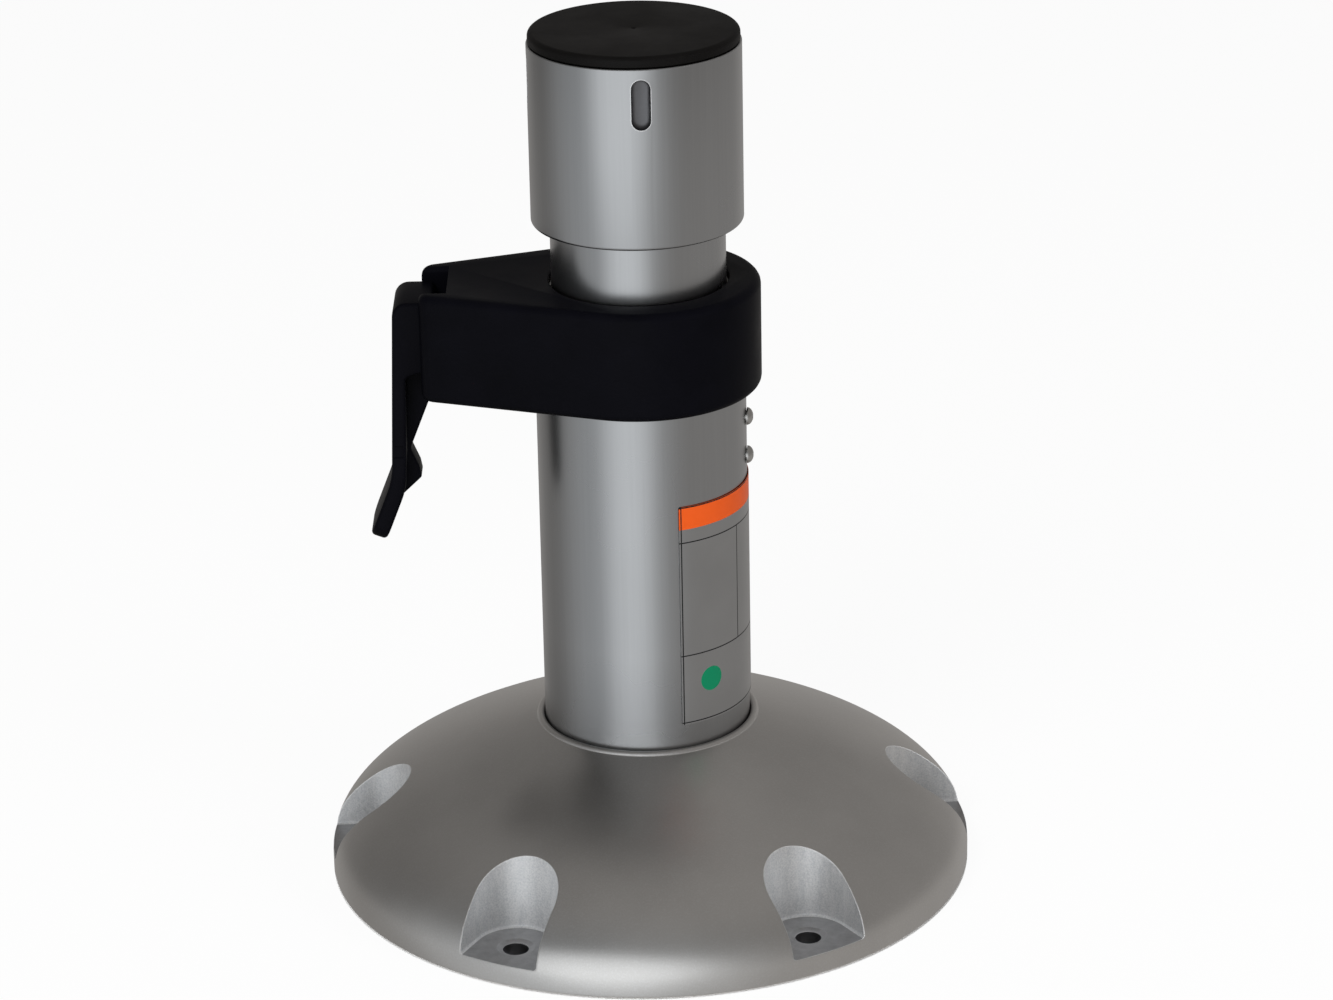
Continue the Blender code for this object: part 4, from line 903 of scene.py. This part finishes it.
class PEDESTAL_OT_base(bpy.types.Operator):
    """Model the cast base with its screw pockets, bosses and ribs"""
    bl_idname = "pedestal.base"
    bl_label = "Base"

    def casting(self, s):
        """The hollow dome with its bead, rim and hub."""
        socket = socket_radius()
        hub = socket + s.hub_wall
        root = hub + s.hub_draft
        foot = s.radius - s.foot_width
        under = [point for point in dome_curve(s, s.wall, steps=30)
                 if root + CUT_MARGIN < point[0] < foot - SMALL_STEP][::-1]
        hub_top = under[-1][1] + (under[-1][0] - hub) * math.tan(s.dome_slope)
        lip_middle = socket + s.lip_width / 2
        lip = [(lip_middle + x * s.lip_width / 2, s.dome_height + y * s.lip_height)
               for x, y in arc((0, 0), 1, math.pi, 0, steps=10)]
        rim = arc((s.radius - s.rim_edge, s.rim_edge), s.rim_edge, 0, -math.pi / 2, steps=4)
        section = [(0, s.socket_floor), (socket, s.socket_floor), *lip[:-1], *dome_curve(s),
                   *rim, (foot, 0), (foot, under[0][1] - 2 * SMALL_STEP), *under,
                   (root, hub_top), (hub, s.clear_of_deck),
                   (socket - s.hub_wall, s.clear_of_deck),
                   (socket - s.hub_wall, s.socket_floor - s.floor_wall),
                   (0, s.socket_floor - s.floor_wall)]
        return revolve("base", section, s.steps, ring=False)

    def bosses(self, s, p, screws):
        """The bosses under the pockets and the ribs to the hub, ending inside the dome."""
        socket = socket_radius()
        radius = p.half_width + p.wall
        middle = [point for point in dome_curve(s, s.wall / 2, steps=24)
                  if socket < point[0] < s.radius][::-1]
        core = revolve("core", [(0, -CUT_MARGIN), (middle[0][0], -CUT_MARGIN), *middle,
                                (0, middle[-1][1])], s.steps, ring=False)
        outline = [(s.radius, -radius), (s.radius, radius),
                   *arc((screws, 0), radius, math.pi / 2, 3 * math.pi / 2, steps=28)]
        bosses = ring_of(slab("boss", outline, 0, s.dome_height), p.count, p.first_angle)
        low = (socket + s.hub_wall / 2, -s.rib_width / 2, s.clear_of_deck)
        high = (screws - radius + p.wall / 2, s.rib_width / 2, s.dome_height)
        combine(bosses, "UNION", ring_of(brick("rib", low, high), p.count, p.first_angle))
        combine(bosses, "INTERSECT", core)
        return bosses

    def pockets(self, s, p, screws):
        """Cutters for the pockets, wider at the mouth, with a fillet round the floor."""
        mouth = s.radius + DEEP_MARGIN
        outline = [(mouth, -p.half_width), (mouth, p.half_width),
                   *arc((screws, 0), p.half_width, math.pi / 2, 3 * math.pi / 2, steps=36)]
        pocket = slab("pocket", outline, p.floor, s.dome_height)
        growth = 1 + p.draft / p.half_width
        edit(pocket)
        pick(pocket, "FACE", lambda f: f.normal.z > FACING_UP)
        bpy.ops.transform.resize(value=(growth, growth, 1), center_override=(screws, 0, 0))
        pick(pocket, "EDGE", lambda e: max(v.co.z for v in e.verts) < p.floor + CUT_MARGIN
             and min(v.co.x for v in e.verts) < s.radius)
        round_off(p.floor_fillet, segments=6)
        leave_edit_mode()
        give(pocket, BASE_FINISHES)
        for face in pocket.data.polygons:
            name = "pocket" if abs(face.normal.z) < NEARLY_FLAT else "recess"
            face.material_index = BASE_FINISHES.index(name)
        return ring_of(pocket, p.count, p.first_angle)

    def holes(self, s, p, screws):
        """Cutters for the screw holes with their dished seats."""
        seat, above = p.floor - p.seat_depth, p.floor + CUT_MARGIN
        dish = [(p.seat_radius - (p.seat_radius - p.hole_radius) * (1 - t),
                 seat + p.seat_depth * t * t) for t in (0.0, 0.4, 0.7, 0.9, 1.0)]
        section = [(0, -CUT_MARGIN), (p.hole_radius, -CUT_MARGIN), *dish,
                   (p.seat_radius, above), (0, above)]
        hole = revolve("hole", section, steps=40, place=Matrix.Translation((screws, 0, 0)),
                       ring=False)
        give(hole, BASE_FINISHES)
        # Upright walls of the holes take the dark slot finish: painted shade inside the holes
        for face in hole.data.polygons:
            name = "recess" if abs(face.normal.z) > NEARLY_UPRIGHT else "slot"
            face.material_index = BASE_FINISHES.index(name)
        return ring_of(hole, p.count, p.first_angle)

    def execute(self, context):
        s, p = context.scene.pedestal_base, context.scene.pedestal_pockets
        screws = s.radius - p.screw_from_rim
        base = self.casting(s)
        give(base, BASE_FINISHES)
        combine(base, "UNION", self.bosses(s, p, screws))
        combine(base, "DIFFERENCE", self.pockets(s, p, screws), self.holes(s, p, screws))
        complete(base, "cast_base", "root", finish("casting"),
                 ("base_casting",), smooth=30)
        return {"FINISHED"}


class PEDESTAL_OT_tube(bpy.types.Operator):
    """Model the outer tube with its brake window and rivet holes"""
    bl_idname = "pedestal.tube"
    bl_label = "Outer Tube"

    def execute(self, context):
        s = context.scene.pedestal_tube
        inside, outside = s.radius - s.wall - DEEP_MARGIN, s.radius + CUT_MARGIN
        tube = pipe("tube", s.radius, s.wall, s.bottom, s.top, s.edge, s.steps)
        combine(tube, "DIFFERENCE", brake_window(s, outside, inside))
        for z in rivet_heights(s):
            combine(tube, "DIFFERENCE", drill("hole", s.rivet_shank + SEAT_GAP, inside, outside,
                                              rivet_place(s, z), steps=24))
        complete(tube, "tube_outer", "root", finish("tube"), ("outer_tube",))
        return {"FINISHED"}


def brake_window(s, outer, inner):
    """A cutter for the window that the brake shoe passes through."""
    return brick("window", (-outer, -s.window_width / 2, s.window_middle - s.window_height / 2),
                 (-inner, s.window_width / 2, s.window_middle + s.window_height / 2))


def rivet_heights(s):
    """Heights of the lower and the upper rivet."""
    return (KEY_BOX[0].z + s.rivet_from_end, KEY_BOX[1].z - s.rivet_from_end)


def rivet_place(s, z):
    """Turns a piece drawn on the Z axis outward through the key at a height."""
    return Matrix.Rotation(s.key_angle, 4, "Z") @ Matrix.Translation((0, 0, z)) @ OUTWARD_X


class PEDESTAL_OT_rivets(bpy.types.Operator):
    """Model the two blind rivets and the stems left inside them"""
    bl_idname = "pedestal.rivets"
    bl_label = "Rivets"

    def execute(self, context):
        s = context.scene.pedestal_tube
        key_inner = s.radius - s.wall - s.key_depth - TOUCH_GAP
        bulge_top = key_inner + s.rivet_bulge_depth
        seat = s.radius + SEAT_GAP
        for side, z in zip(("lower", "upper"), rivet_heights(s)):
            dome = [(s.rivet_head_radius * x, seat + s.rivet_head_height * y)
                    for x, y in arc((0, 0), 1, 0, math.acos(s.rivet_bore / s.rivet_head_radius),
                                    steps=9)]
            section = [(s.rivet_bore, key_inner), (s.rivet_bulge, key_inner),
                       (s.rivet_bulge, bulge_top), (s.rivet_shank, bulge_top),
                       (s.rivet_shank, seat), *dome]
            rivet = revolve("rivet", section, steps=48, place=rivet_place(s, z))
            complete(rivet, f"blind_rivet_{side}", "root", finish("rivet"),
                     (f"rivet_{side}",))
            stem_end = dome[-1][1] - s.stem_sunk
            knob = key_inner - SEAT_GAP
            section = [(0, knob - s.knob_depth), (s.knob_radius, knob - s.knob_depth),
                       (s.knob_radius, knob), (s.stem_radius, knob),
                       (s.stem_radius, stem_end - s.stem_edge),
                       (s.stem_radius - s.stem_edge, stem_end), (0, stem_end)]
            stem = revolve("stem", section, steps=32, place=rivet_place(s, z), ring=False)
            complete(stem, f"rivet_stem_{side}", "root", finish("steel"),
                     (f"mandrel_{side}",))
        return {"FINISHED"}


class PEDESTAL_OT_post(bpy.types.Operator):
    """Model the sliding post with its key slot"""
    bl_idname = "pedestal.post"
    bl_label = "Inner Post"

    def execute(self, context):
        s = context.scene.pedestal_tube
        post = pipe("post", s.post_radius, s.post_wall, s.post_bottom, s.post_top, s.post_edge,
                    s.steps)
        low = s.post_bottom + s.key_slot_below
        high = KEY_BOX[1].z + s.key_slot_above
        outline = [(y, z + (low + high) / 2) for y, z in stadium(high - low, s.key_slot_width)]
        around = Matrix.Rotation(s.key_angle, 4, "Z")
        reach = s.post_radius + CUT_MARGIN
        slot = slab("keyway", outline, s.post_radius - s.post_wall - CUT_MARGIN, reach,
                    around @ FACING_X)
        across = around @ Matrix.Translation((0, 0, s.post_bottom + s.lug_height)) @ OUTWARD_Y
        lugs = drill("lug_holes", s.lug_radius, -reach, reach, across)
        combine(post, "DIFFERENCE", slot, lugs)
        complete(post, "sliding_post", "post", finish("tube"), ("inner_post",))
        return {"FINISHED"}


class PEDESTAL_OT_head(bpy.types.Operator):
    """Model the seat head with its slots"""
    bl_idname = "pedestal.head"
    bl_label = "Seat Head"

    def execute(self, context):
        s = context.scene.pedestal_head
        foot = arc((s.radius - s.foot_edge, s.bottom + s.foot_edge), s.foot_edge, -math.pi / 2,
                   0, steps=6)
        top = arc((s.radius - s.top_edge, s.top - s.top_edge), s.top_edge, 0, math.pi / 2,
                  steps=3)
        section = [(s.bore + s.top_edge, s.bottom), *foot, *top, (s.bore, s.top),
                   (s.bore, s.bottom + s.top_edge)]
        head = revolve("head", section, s.steps)
        middle = s.top - s.slot_below_top - s.slot_length / 2
        outline = [(y, z + middle) for y, z in stadium(s.slot_length, s.slot_width)]
        floor = s.radius - s.slot_depth
        slot = slab("slot", outline, floor, s.radius + DEEP_MARGIN)
        edit(slot)
        pick(slot, "EDGE", lambda e: max(v.co.z for v in e.verts) < floor + TOLERANCE)
        round_off(s.slot_fillet, segments=4)
        place_mesh(slot, FACING_X)
        for piece in (head, slot):
            give(piece, ("tube", "slot"))
        # The slots' faces take the dark slot finish: painted shade inside the slots
        for face in slot.data.polygons:
            face.material_index = 1
        combine(head, "DIFFERENCE", ring_of(slot, s.slot_count, s.slot_angle))
        complete(head, "seat_head", "post", finish("tube"), ("head_sleeve",))
        return {"FINISHED"}


class PEDESTAL_OT_cap(bpy.types.Operator):
    """Model the cap with its spigot and centre dimple"""
    bl_idname = "pedestal.cap"
    bl_label = "Cap"

    def execute(self, context):
        s = context.scene.pedestal_head
        low = s.cap_top - s.cap_thickness
        spigot = context.scene.pedestal_tube.post_radius - s.spigot_gap
        rim = arc((s.cap_radius - s.cap_edge, s.cap_top - s.cap_edge), s.cap_edge, 0,
                  math.pi / 2, steps=8)
        dimple = [(s.dimple_radius * across, s.cap_top - s.dimple_depth * deep)
                  for across, deep in ((1, 0), (2 / 3, 0.2), (1 / 3, 0.8), (0, 1))]
        section = [(0, low), (spigot - s.spigot_wall, low),
                   (spigot - s.spigot_wall, s.cap_bottom),
                   (spigot - s.spigot_lead / 2, s.cap_bottom),
                   (spigot, s.cap_bottom + s.spigot_lead), (spigot, low),
                   (s.cap_radius - s.cap_under_edge, low),
                   (s.cap_radius, low + s.cap_under_edge), *rim, *dimple]
        cap = revolve("cap", section, s.steps, ring=False)
        complete(cap, "end_cap", "post", finish("cap"), ("head_cap",),
                 smooth=25)
        return {"FINISHED"}


class PEDESTAL_OT_collar(bpy.types.Operator):
    """Model the clamp collar with its fork, roof and hollow"""
    bl_idname = "pedestal.collar"
    bl_label = "Clamp Collar"

    def blank(self, s, taper):
        """The ring and its tapering nose, with rounded rims."""
        tangent = math.pi / 2 + taper
        ring = arc((0, 0), s.radius, -tangent, tangent, s.steps)
        corners = [(*ring[-1], 0), (-s.nose_reach, s.nose_half_width, s.nose_corner),
                   (-s.nose_reach, -s.nose_half_width, s.nose_corner), (*ring[0], 0)]
        return slab("collar", ring + rounded(corners)[1:-1], s.bottom, s.top, edge=s.edge,
                    segments=5)

    def bore(self, s, steps):
        """A cutter for the tube's socket and the lip over it."""
        low, high = s.bottom - CUT_MARGIN, s.top + CUT_MARGIN
        under_lip = s.top - s.lip
        edge = s.lip / 3
        lip = arc((s.lip_radius + edge, s.top - edge), edge, math.pi, math.pi / 2, steps=5)
        section = [(0, low), (socket_radius(), low), (socket_radius(), under_lip),
                   (s.lip_radius, under_lip), *lip, (s.lip_radius + edge, high), (0, high)]
        return revolve("bore", section, steps, ring=False)

    def lever_slot(self, s, outside, back):
        """A cutter for the slot between the cheeks, with rounded upper edges."""
        mouth = s.slot_half_width + s.slot_edge
        side = [(s.slot_half_width, s.bottom - CUT_MARGIN),
                *arc((mouth, s.top - s.slot_edge), s.slot_edge, math.pi, math.pi / 2,
                     steps=7),
                (mouth, s.top + CUT_MARGIN)]
        return slab("slot", side + [(-y, z) for y, z in reversed(side)], outside, back, FACING_X)

    def execute(self, context):
        s = context.scene.pedestal_collar
        tube, lever = context.scene.pedestal_tube, context.scene.pedestal_lever
        taper = (math.asin(s.radius / math.hypot(s.nose_reach, s.nose_half_width))
                 - math.atan2(s.nose_half_width, s.nose_reach))
        outside, back = -s.nose_reach - CUT_MARGIN, s.slot_depth - s.nose_reach
        hollow = brick("hollow", (outside, -s.slot_half_width, s.bottom - DEEP_MARGIN),
                       (back + s.hollow_depth, s.slot_half_width, s.top - s.roof))
        guide = brick("guide", (back, -s.guide_half_width,
                                tube.window_middle - s.guide_half_height),
                      (CUT_MARGIN - tube.radius, s.guide_half_width,
                       tube.window_middle + s.guide_half_height))
        cheek = (s.radius + lever.pivot_x * math.sin(taper)) / math.cos(taper)
        pin = drill("pin_hole", s.pin_radius, s.pin_skin - cheek, cheek + DEEP_MARGIN,
                    Matrix.Translation((lever.pivot_x, 0, lever.pivot_z)) @ OUTWARD_Y)
        screw = drill("screw_hole", s.screw_radius, tube.radius - CUT_MARGIN,
                      s.radius + CUT_MARGIN,
                      Matrix.Translation((0, 0, s.screw_height)) @ OUTWARD_Y)
        collar = self.blank(s, taper)
        combine(collar, "DIFFERENCE", self.bore(s, tube.steps),
                self.lever_slot(s, outside, back), hollow, guide, pin, screw)
        complete(collar, "lever_collar", "root", finish("plastic"),
                 ("clamp_collar",))
        return {"FINISHED"}


# Where the cam's face starts and ends, and the angle from which an edge counts as sharp
CAM_ANGLES = (math.radians(-70), math.radians(60))
SHARP_ANGLE = 0.7


class PEDESTAL_OT_lever(bpy.types.Operator):
    """Model the cam lever with its plate, rib, hook and paddle"""
    bl_idname = "pedestal.lever"
    bl_label = "Cam Lever"

    def cam(self, s, steps=36):
        """The cam's outline, which rises evenly with the angle."""
        start, end = CAM_ANGLES
        points = []
        for step in range(steps + 1):
            facing = start + (end - start) * step / steps
            reach = s.cam_radius - s.cam_lift * facing
            points.append((reach * math.cos(facing) + s.cam_lift * math.sin(facing),
                           reach * math.sin(facing) - s.cam_lift * math.cos(facing)))
        return points

    def paddle(self, s, along, inward):
        """A point measured from the bend along the paddle and in from its face."""
        down = Vector((-math.sin(s.paddle_tilt), -math.cos(s.paddle_tilt)))
        across = Vector((math.cos(s.paddle_tilt), -math.sin(s.paddle_tilt)))
        return Vector((-s.face - s.lean, -s.flare_depth)) + along * down + inward * across

    def plate_inside(self, s, depth):
        """Place of the leaning plate's inner face at a depth below the pivot."""
        lean = s.lean * (s.top + depth) / (s.top + s.flare_depth)
        return s.thickness - s.face - lean

    def side(self, s):
        """The lever's outline seen from the side, round its pivot."""
        bend = (s.thickness - s.paddle_thickness * math.cos(s.paddle_tilt)) \
            / math.sin(s.paddle_tilt)
        inside = self.plate_inside(s, s.head_depth)
        corners = [(s.corner, s.head_back, s.corner), (0, s.top, s.corner),
                   (-s.face, s.top, s.top_round), (*self.paddle(s, 0, 0), s.flare_round),
                   (*self.paddle(s, s.paddle_length, 0), 0),
                   (*self.paddle(s, s.paddle_length, s.paddle_thickness), 0),
                   (*self.paddle(s, -bend, s.paddle_thickness), s.flare_round),
                   (inside, -s.head_depth, s.corner),
                   (inside + s.head_step_in, s.head_step - s.head_depth, s.corner),
                   (inside + s.cam_radius, s.head_step - s.head_depth, s.corner)]
        cam = self.cam(s)
        return rounded([(*cam[-1], 0), *corners, (*cam[0], 0)])[1:-1] + cam

    def rib(self, s):
        """The outline of the hooked rib behind the plate."""
        sunk = s.thickness / 2 - s.face
        return rounded([(sunk, s.thickness - s.head_depth, 0),
                        (0, -s.cam_radius - s.notch_round / 2, 0),
                        (s.heel_reach, -s.heel_depth, s.heel_round),
                        (-s.notch_reach, -s.notch_depth, s.notch_round),
                        (-s.hook_reach - s.hook_round / 2, s.hook_back - s.hook_depth, s.corner),
                        (-s.hook_reach, -s.hook_depth, s.hook_round),
                        (*self.paddle(s, s.root_on_paddle, s.thickness / 2), 0),
                        (sunk - s.lean, -s.flare_depth, 0)])

    def soften(self, s, lever):
        """Rounds the paddle's corners, then all the lever's rims."""
        up = Vector((math.sin(s.paddle_tilt), 0, math.cos(s.paddle_tilt)))
        end = up.dot(Vector((-s.face - s.lean, 0, -s.flare_depth))) - s.paddle_length

        def on_end(edge, reach):
            return max(v.co.dot(up) for v in edge.verts) < end + reach + FINE_TOLERANCE

        def along(edge):
            return abs(edge.verts[0].co.y - edge.verts[1].co.y) < ALMOST_ZERO

        edit(lever)
        pick(lever, "EDGE", lambda e: on_end(e, 0) and along(e))
        round_off(s.paddle_corner, segments=12)
        pick(lever, "EDGE", lambda e: e.calc_face_angle(0) > SHARP_ANGLE
             and (along(e) or on_end(e, s.paddle_corner)))
        round_off(s.rim, segments=4)
        leave_edit_mode()

    def execute(self, context):
        s = context.scene.pedestal_lever
        half = s.width / 2
        lever = slab("lever", self.side(s), -half, half, SIDE_ON)
        self.soften(s, lever)
        rib = slab("rib", self.rib(s), -s.rib_width / 2, s.rib_width / 2, SIDE_ON, s.edge)
        mark_in = self.plate_inside(s, s.mark_below) - s.edge
        marks = [brick("mark", (mark_in - s.thickness, side * half - s.mark_depth,
                                -s.mark_below - s.mark_height / 2),
                       (mark_in, side * half + s.mark_depth,
                        -s.mark_below + s.mark_height / 2)) for side in (-1, 1)]
        bore = drill("bore", context.scene.pedestal_collar.pin_radius, -half - CUT_MARGIN,
                     half + CUT_MARGIN, OUTWARD_Y)
        combine(lever, "UNION", rib)
        combine(lever, "DIFFERENCE", bore, *marks)
        place_mesh(lever, Matrix.Translation((s.pivot_x, 0, s.pivot_z)))
        complete(lever, "clamp_lever", "lever", finish("plastic"),
                 ("cam_lever",))
        return {"FINISHED"}


class PEDESTAL_OT_label(bpy.types.Operator):
    """Model the thin label panel on the tube"""
    bl_idname = "pedestal.label"
    bl_label = "Label Panel"

    def execute(self, context):
        s = context.scene.pedestal_label
        wide = s.radius * s.sweep
        outline = rounded([(0, s.bottom, s.corner), (wide, s.bottom, s.corner),
                           (wide, s.top, s.corner), (0, s.top, s.corner)], steps=6)
        label = slab("label", outline, 0, s.thickness)
        edit(label)
        for index in range(1, s.steps):
            bpy.ops.mesh.select_all(action="SELECT")
            bpy.ops.mesh.bisect(plane_co=(wide * index / s.steps, 0, 0), plane_no=(1, 0, 0))
        leave_edit_mode()
        for vertex in label.data.vertices:
            angle = s.start + vertex.co.x / s.radius
            radius = s.radius + vertex.co.z
            vertex.co = (radius * math.cos(angle), radius * math.sin(angle), vertex.co.y)
        edit(label)
        tidy(label)
        leave_edit_mode()
        complete(label, "label_film", "root", finish("film"), ("label_panel",))
        return {"FINISHED"}


INNER_FINISHES = {
    "collar_screw": "steel", "lever_pin": "steel", "guide_key": "steel",
    "upper_bushing": "bearing", "lower_bushing": "bearing", "brake_shoe": "plastic",
    "brake_pad": "rubber",
}


class PEDESTAL_OT_inner_finishes(bpy.types.Operator):
    """Give the packed inner pieces their finishes"""
    bl_idname = "pedestal.inner_finishes"
    bl_label = "Inner Finishes"

    def execute(self, context):
        for node, name in INNER_FINISHES.items():
            piece = frame["nodes"][node]
            piece.data.materials.clear()
            give(piece, (name,))
        return {"FINISHED"}


# Where each light of the room begins and where it is full, as parts of a unit direction
BEHIND, BELOW, ABOVE = (0.55, 1.0), (0.05, -0.3), (0.72, 1.0)
ALL_OVER_FRONT, STRAIGHT_IN_FRONT = (0.1, 0.8), (0.74, 0.98)
# Heights between which the lights behind and all over the front fade, and what is left
BEHIND_FADES, FRONT_FADES, FRONT_LEFT_OVER = (0.12, 0.38), (0.05, 0.55), 0.25

# Each soft lamp's place and size, and the point that they all face
LAMPS = {
    "front_lamp": ((-0.7, -1.3, 1.5), (0.9, 0.9)),
    "side_lamp": ((1.3, -0.9, 0.7), (0.6, 0.8)),
}
LAMP_AIM = (0, 0, 0.12)

# Width of the camera's sensor in millimetres, and the distances that it sees
SENSOR_WIDTH = 36.0
SEEN_FROM, SEEN_TO = 0.05, 50


class PEDESTAL_OT_stage(bpy.types.Operator):
    """Set up the floor, the soft lamps, the room's light and the camera"""
    bl_idname = "pedestal.stage"
    bl_label = "Stage"

    def add_floor(self, s, colours, base_radius):
        """A floor that is white beside the base and that the metal doesn't mirror."""
        leave_edit_mode()
        bpy.ops.object.select_all(action="DESELECT")
        bpy.ops.mesh.primitive_plane_add(size=s.floor_size)
        floor = bpy.context.object
        floor.name = "studio_floor"
        recipe = Recipe("pale_floor", colours.floor, roughness=0.9, specular=0.0)
        seen = recipe.add("LightPath").outputs
        away = recipe.add("VectorMath", {0: recipe.place}, operation="LENGTH").outputs["Value"]
        beside = recipe.math("GREATER_THAN", away, base_radius)
        direct = recipe.math("MAXIMUM", seen["Is Camera Ray"], seen["Is Transmission Ray"])
        plain = recipe.math("MULTIPLY", recipe.math("MULTIPLY", direct, s.floor_white), beside)
        mirrored = recipe.math("MULTIPLY", seen["Is Glossy Ray"], beside)
        white = recipe.add("Emission", {"Strength": 1.0}).outputs[0]
        clear = recipe.add("BsdfTransparent").outputs[0]
        shown = recipe.mix(plain, recipe.shader.outputs[0], white)
        recipe.show("Material", recipe.mix(mirrored, shown, clear))
        floor.data.materials.append(recipe.material)

    def add_lamp(self, name, place, size, energy):
        """A soft panel that lights the scene and isn't mirrored in the metal."""
        bpy.ops.object.light_add(type="AREA", location=place)
        lamp = bpy.context.object
        lamp.name = name
        lamp.data.shape = "RECTANGLE"
        lamp.data.size, lamp.data.size_y = size
        lamp.data.energy = energy
        aim = Vector(LAMP_AIM) - Vector(place)
        lamp.rotation_euler = aim.to_track_quat("-Z", "Y").to_euler()
        lamp.visible_camera = lamp.visible_glossy = False

    def add_room(self, s, colours):
        """A white background for the camera, and a soft room that is lightest in front."""
        world = bpy.data.worlds.new("studio")
        bpy.context.scene.world = world
        room = Nodes(world)
        place = room.add("TexCoord").outputs["Generated"]
        right, away, up = room.add("SeparateXYZ", {"Vector": place}).outputs

        def rise(value, source, full):
            return room.spread(value, 0.0, full, source, interpolation_type="SMOOTHSTEP")

        def facing(heading):
            ahead = (-math.sin(heading), -math.cos(heading), 0)
            return room.add("VectorMath", {0: place, 1: ahead},
                            operation="DOT_PRODUCT").outputs["Value"]

        broad = facing(s.wide_heading)
        behind = room.math("MULTIPLY", rise(away, BEHIND, s.room_back),
                           room.spread(up, 1.0, 0.0, BEHIND_FADES))
        wide = room.math("MULTIPLY", rise(broad, ALL_OVER_FRONT, s.room_wide),
                         room.spread(up, 1.0, FRONT_LEFT_OVER, FRONT_FADES))
        front = rise(facing(s.front_heading), STRAIGHT_IN_FRONT, s.room_front)
        strength = room.math("MULTIPLY_ADD", right, s.room_side, s.room)
        for part in (behind, rise(up, BELOW, s.room_low), rise(up, ABOVE, s.room_top), wide,
                     front):
            strength = room.math("ADD", strength, part)
        tint = room.blend(room.spread(broad, 0.0, 1.0, ALL_OVER_FRONT), colours.room,
                          colours.window)
        soft = room.tree.nodes["Background"]
        room.tree.links.new(strength, soft.inputs["Strength"])
        room.tree.links.new(tint, soft.inputs["Color"])
        white = room.add("Background", {"Color": (1, 1, 1, 1), "Strength": 1.0}).outputs[0]
        seen = room.add("LightPath").outputs
        direct = room.math("MAXIMUM", seen["Is Camera Ray"], seen["Is Transmission Ray"])
        room.show("World", room.mix(direct, soft.outputs[0], white))

    def add_camera(self, s):
        """The camera, turned from its elevation and roll and set back from its aim."""
        forward = Vector((0, math.cos(s.elevation), -math.sin(s.elevation)))
        right = Vector((1, 0, 0))
        up = right.cross(forward)
        across = math.cos(s.roll) * right + math.sin(s.roll) * up
        upward = -math.sin(s.roll) * right + math.cos(s.roll) * up
        turned = Matrix((across, upward, -forward)).transposed()
        bpy.ops.object.camera_add()
        camera = bpy.context.object
        camera.name = "photo_camera"
        camera.matrix_world = Matrix.Translation(Vector(s.aim) - forward * s.distance) \
            @ turned.to_4x4()
        camera.data.sensor_width = SENSOR_WIDTH
        camera.data.lens = s.lens
        camera.data.clip_start, camera.data.clip_end = SEEN_FROM, SEEN_TO
        bpy.context.scene.camera = camera

    def execute(self, context):
        s, colours = context.scene.pedestal_stage, context.scene.pedestal_colours
        self.add_floor(s, colours, context.scene.pedestal_base.radius)
        for name, energy in (("front_lamp", s.front_power), ("side_lamp", s.side_power)):
            self.add_lamp(name, *LAMPS[name], energy)
        self.add_room(s, colours)
        self.add_camera(s)
        context.scene.view_settings.view_transform = "Standard"
        return {"FINISHED"}


class PEDESTAL_PT_panel(bpy.types.Panel):
    """Lists the pedestal's pieces and sizes"""
    bl_idname = "PEDESTAL_PT_panel"
    bl_label = "Boat Seat Pedestal"
    bl_space_type = "VIEW_3D"
    bl_region_type = "UI"
    bl_category = "Pedestal"

    def draw(self, context):
        for operator in OPERATORS:
            self.layout.operator(operator.bl_idname)
        for name, group in SETTINGS.items():
            box = self.layout.box()
            box.label(text=group.__doc__)
            for key in group.__annotations__:
                box.prop(getattr(context.scene, name), key)


OPERATORS = (PEDESTAL_OT_base, PEDESTAL_OT_tube, PEDESTAL_OT_rivets, PEDESTAL_OT_post,
             PEDESTAL_OT_head, PEDESTAL_OT_cap, PEDESTAL_OT_collar, PEDESTAL_OT_lever,
             PEDESTAL_OT_label, PEDESTAL_OT_inner_finishes, PEDESTAL_OT_stage)


def register():
    for group in (*SETTINGS.values(), *OPERATORS, PEDESTAL_PT_panel):
        bpy.utils.register_class(group)
    for name, group in SETTINGS.items():
        setattr(bpy.types.Scene, name, PointerProperty(type=group))


def unregister():
    for name in SETTINGS:
        delattr(bpy.types.Scene, name)
    for group in reversed((*SETTINGS.values(), *OPERATORS, PEDESTAL_PT_panel)):
        bpy.utils.unregister_class(group)


def main():
    register()
    for operator in OPERATORS:
        getattr(bpy.ops.pedestal, operator.bl_idname.split(".")[1])()


if __name__ == "__main__":
    main()
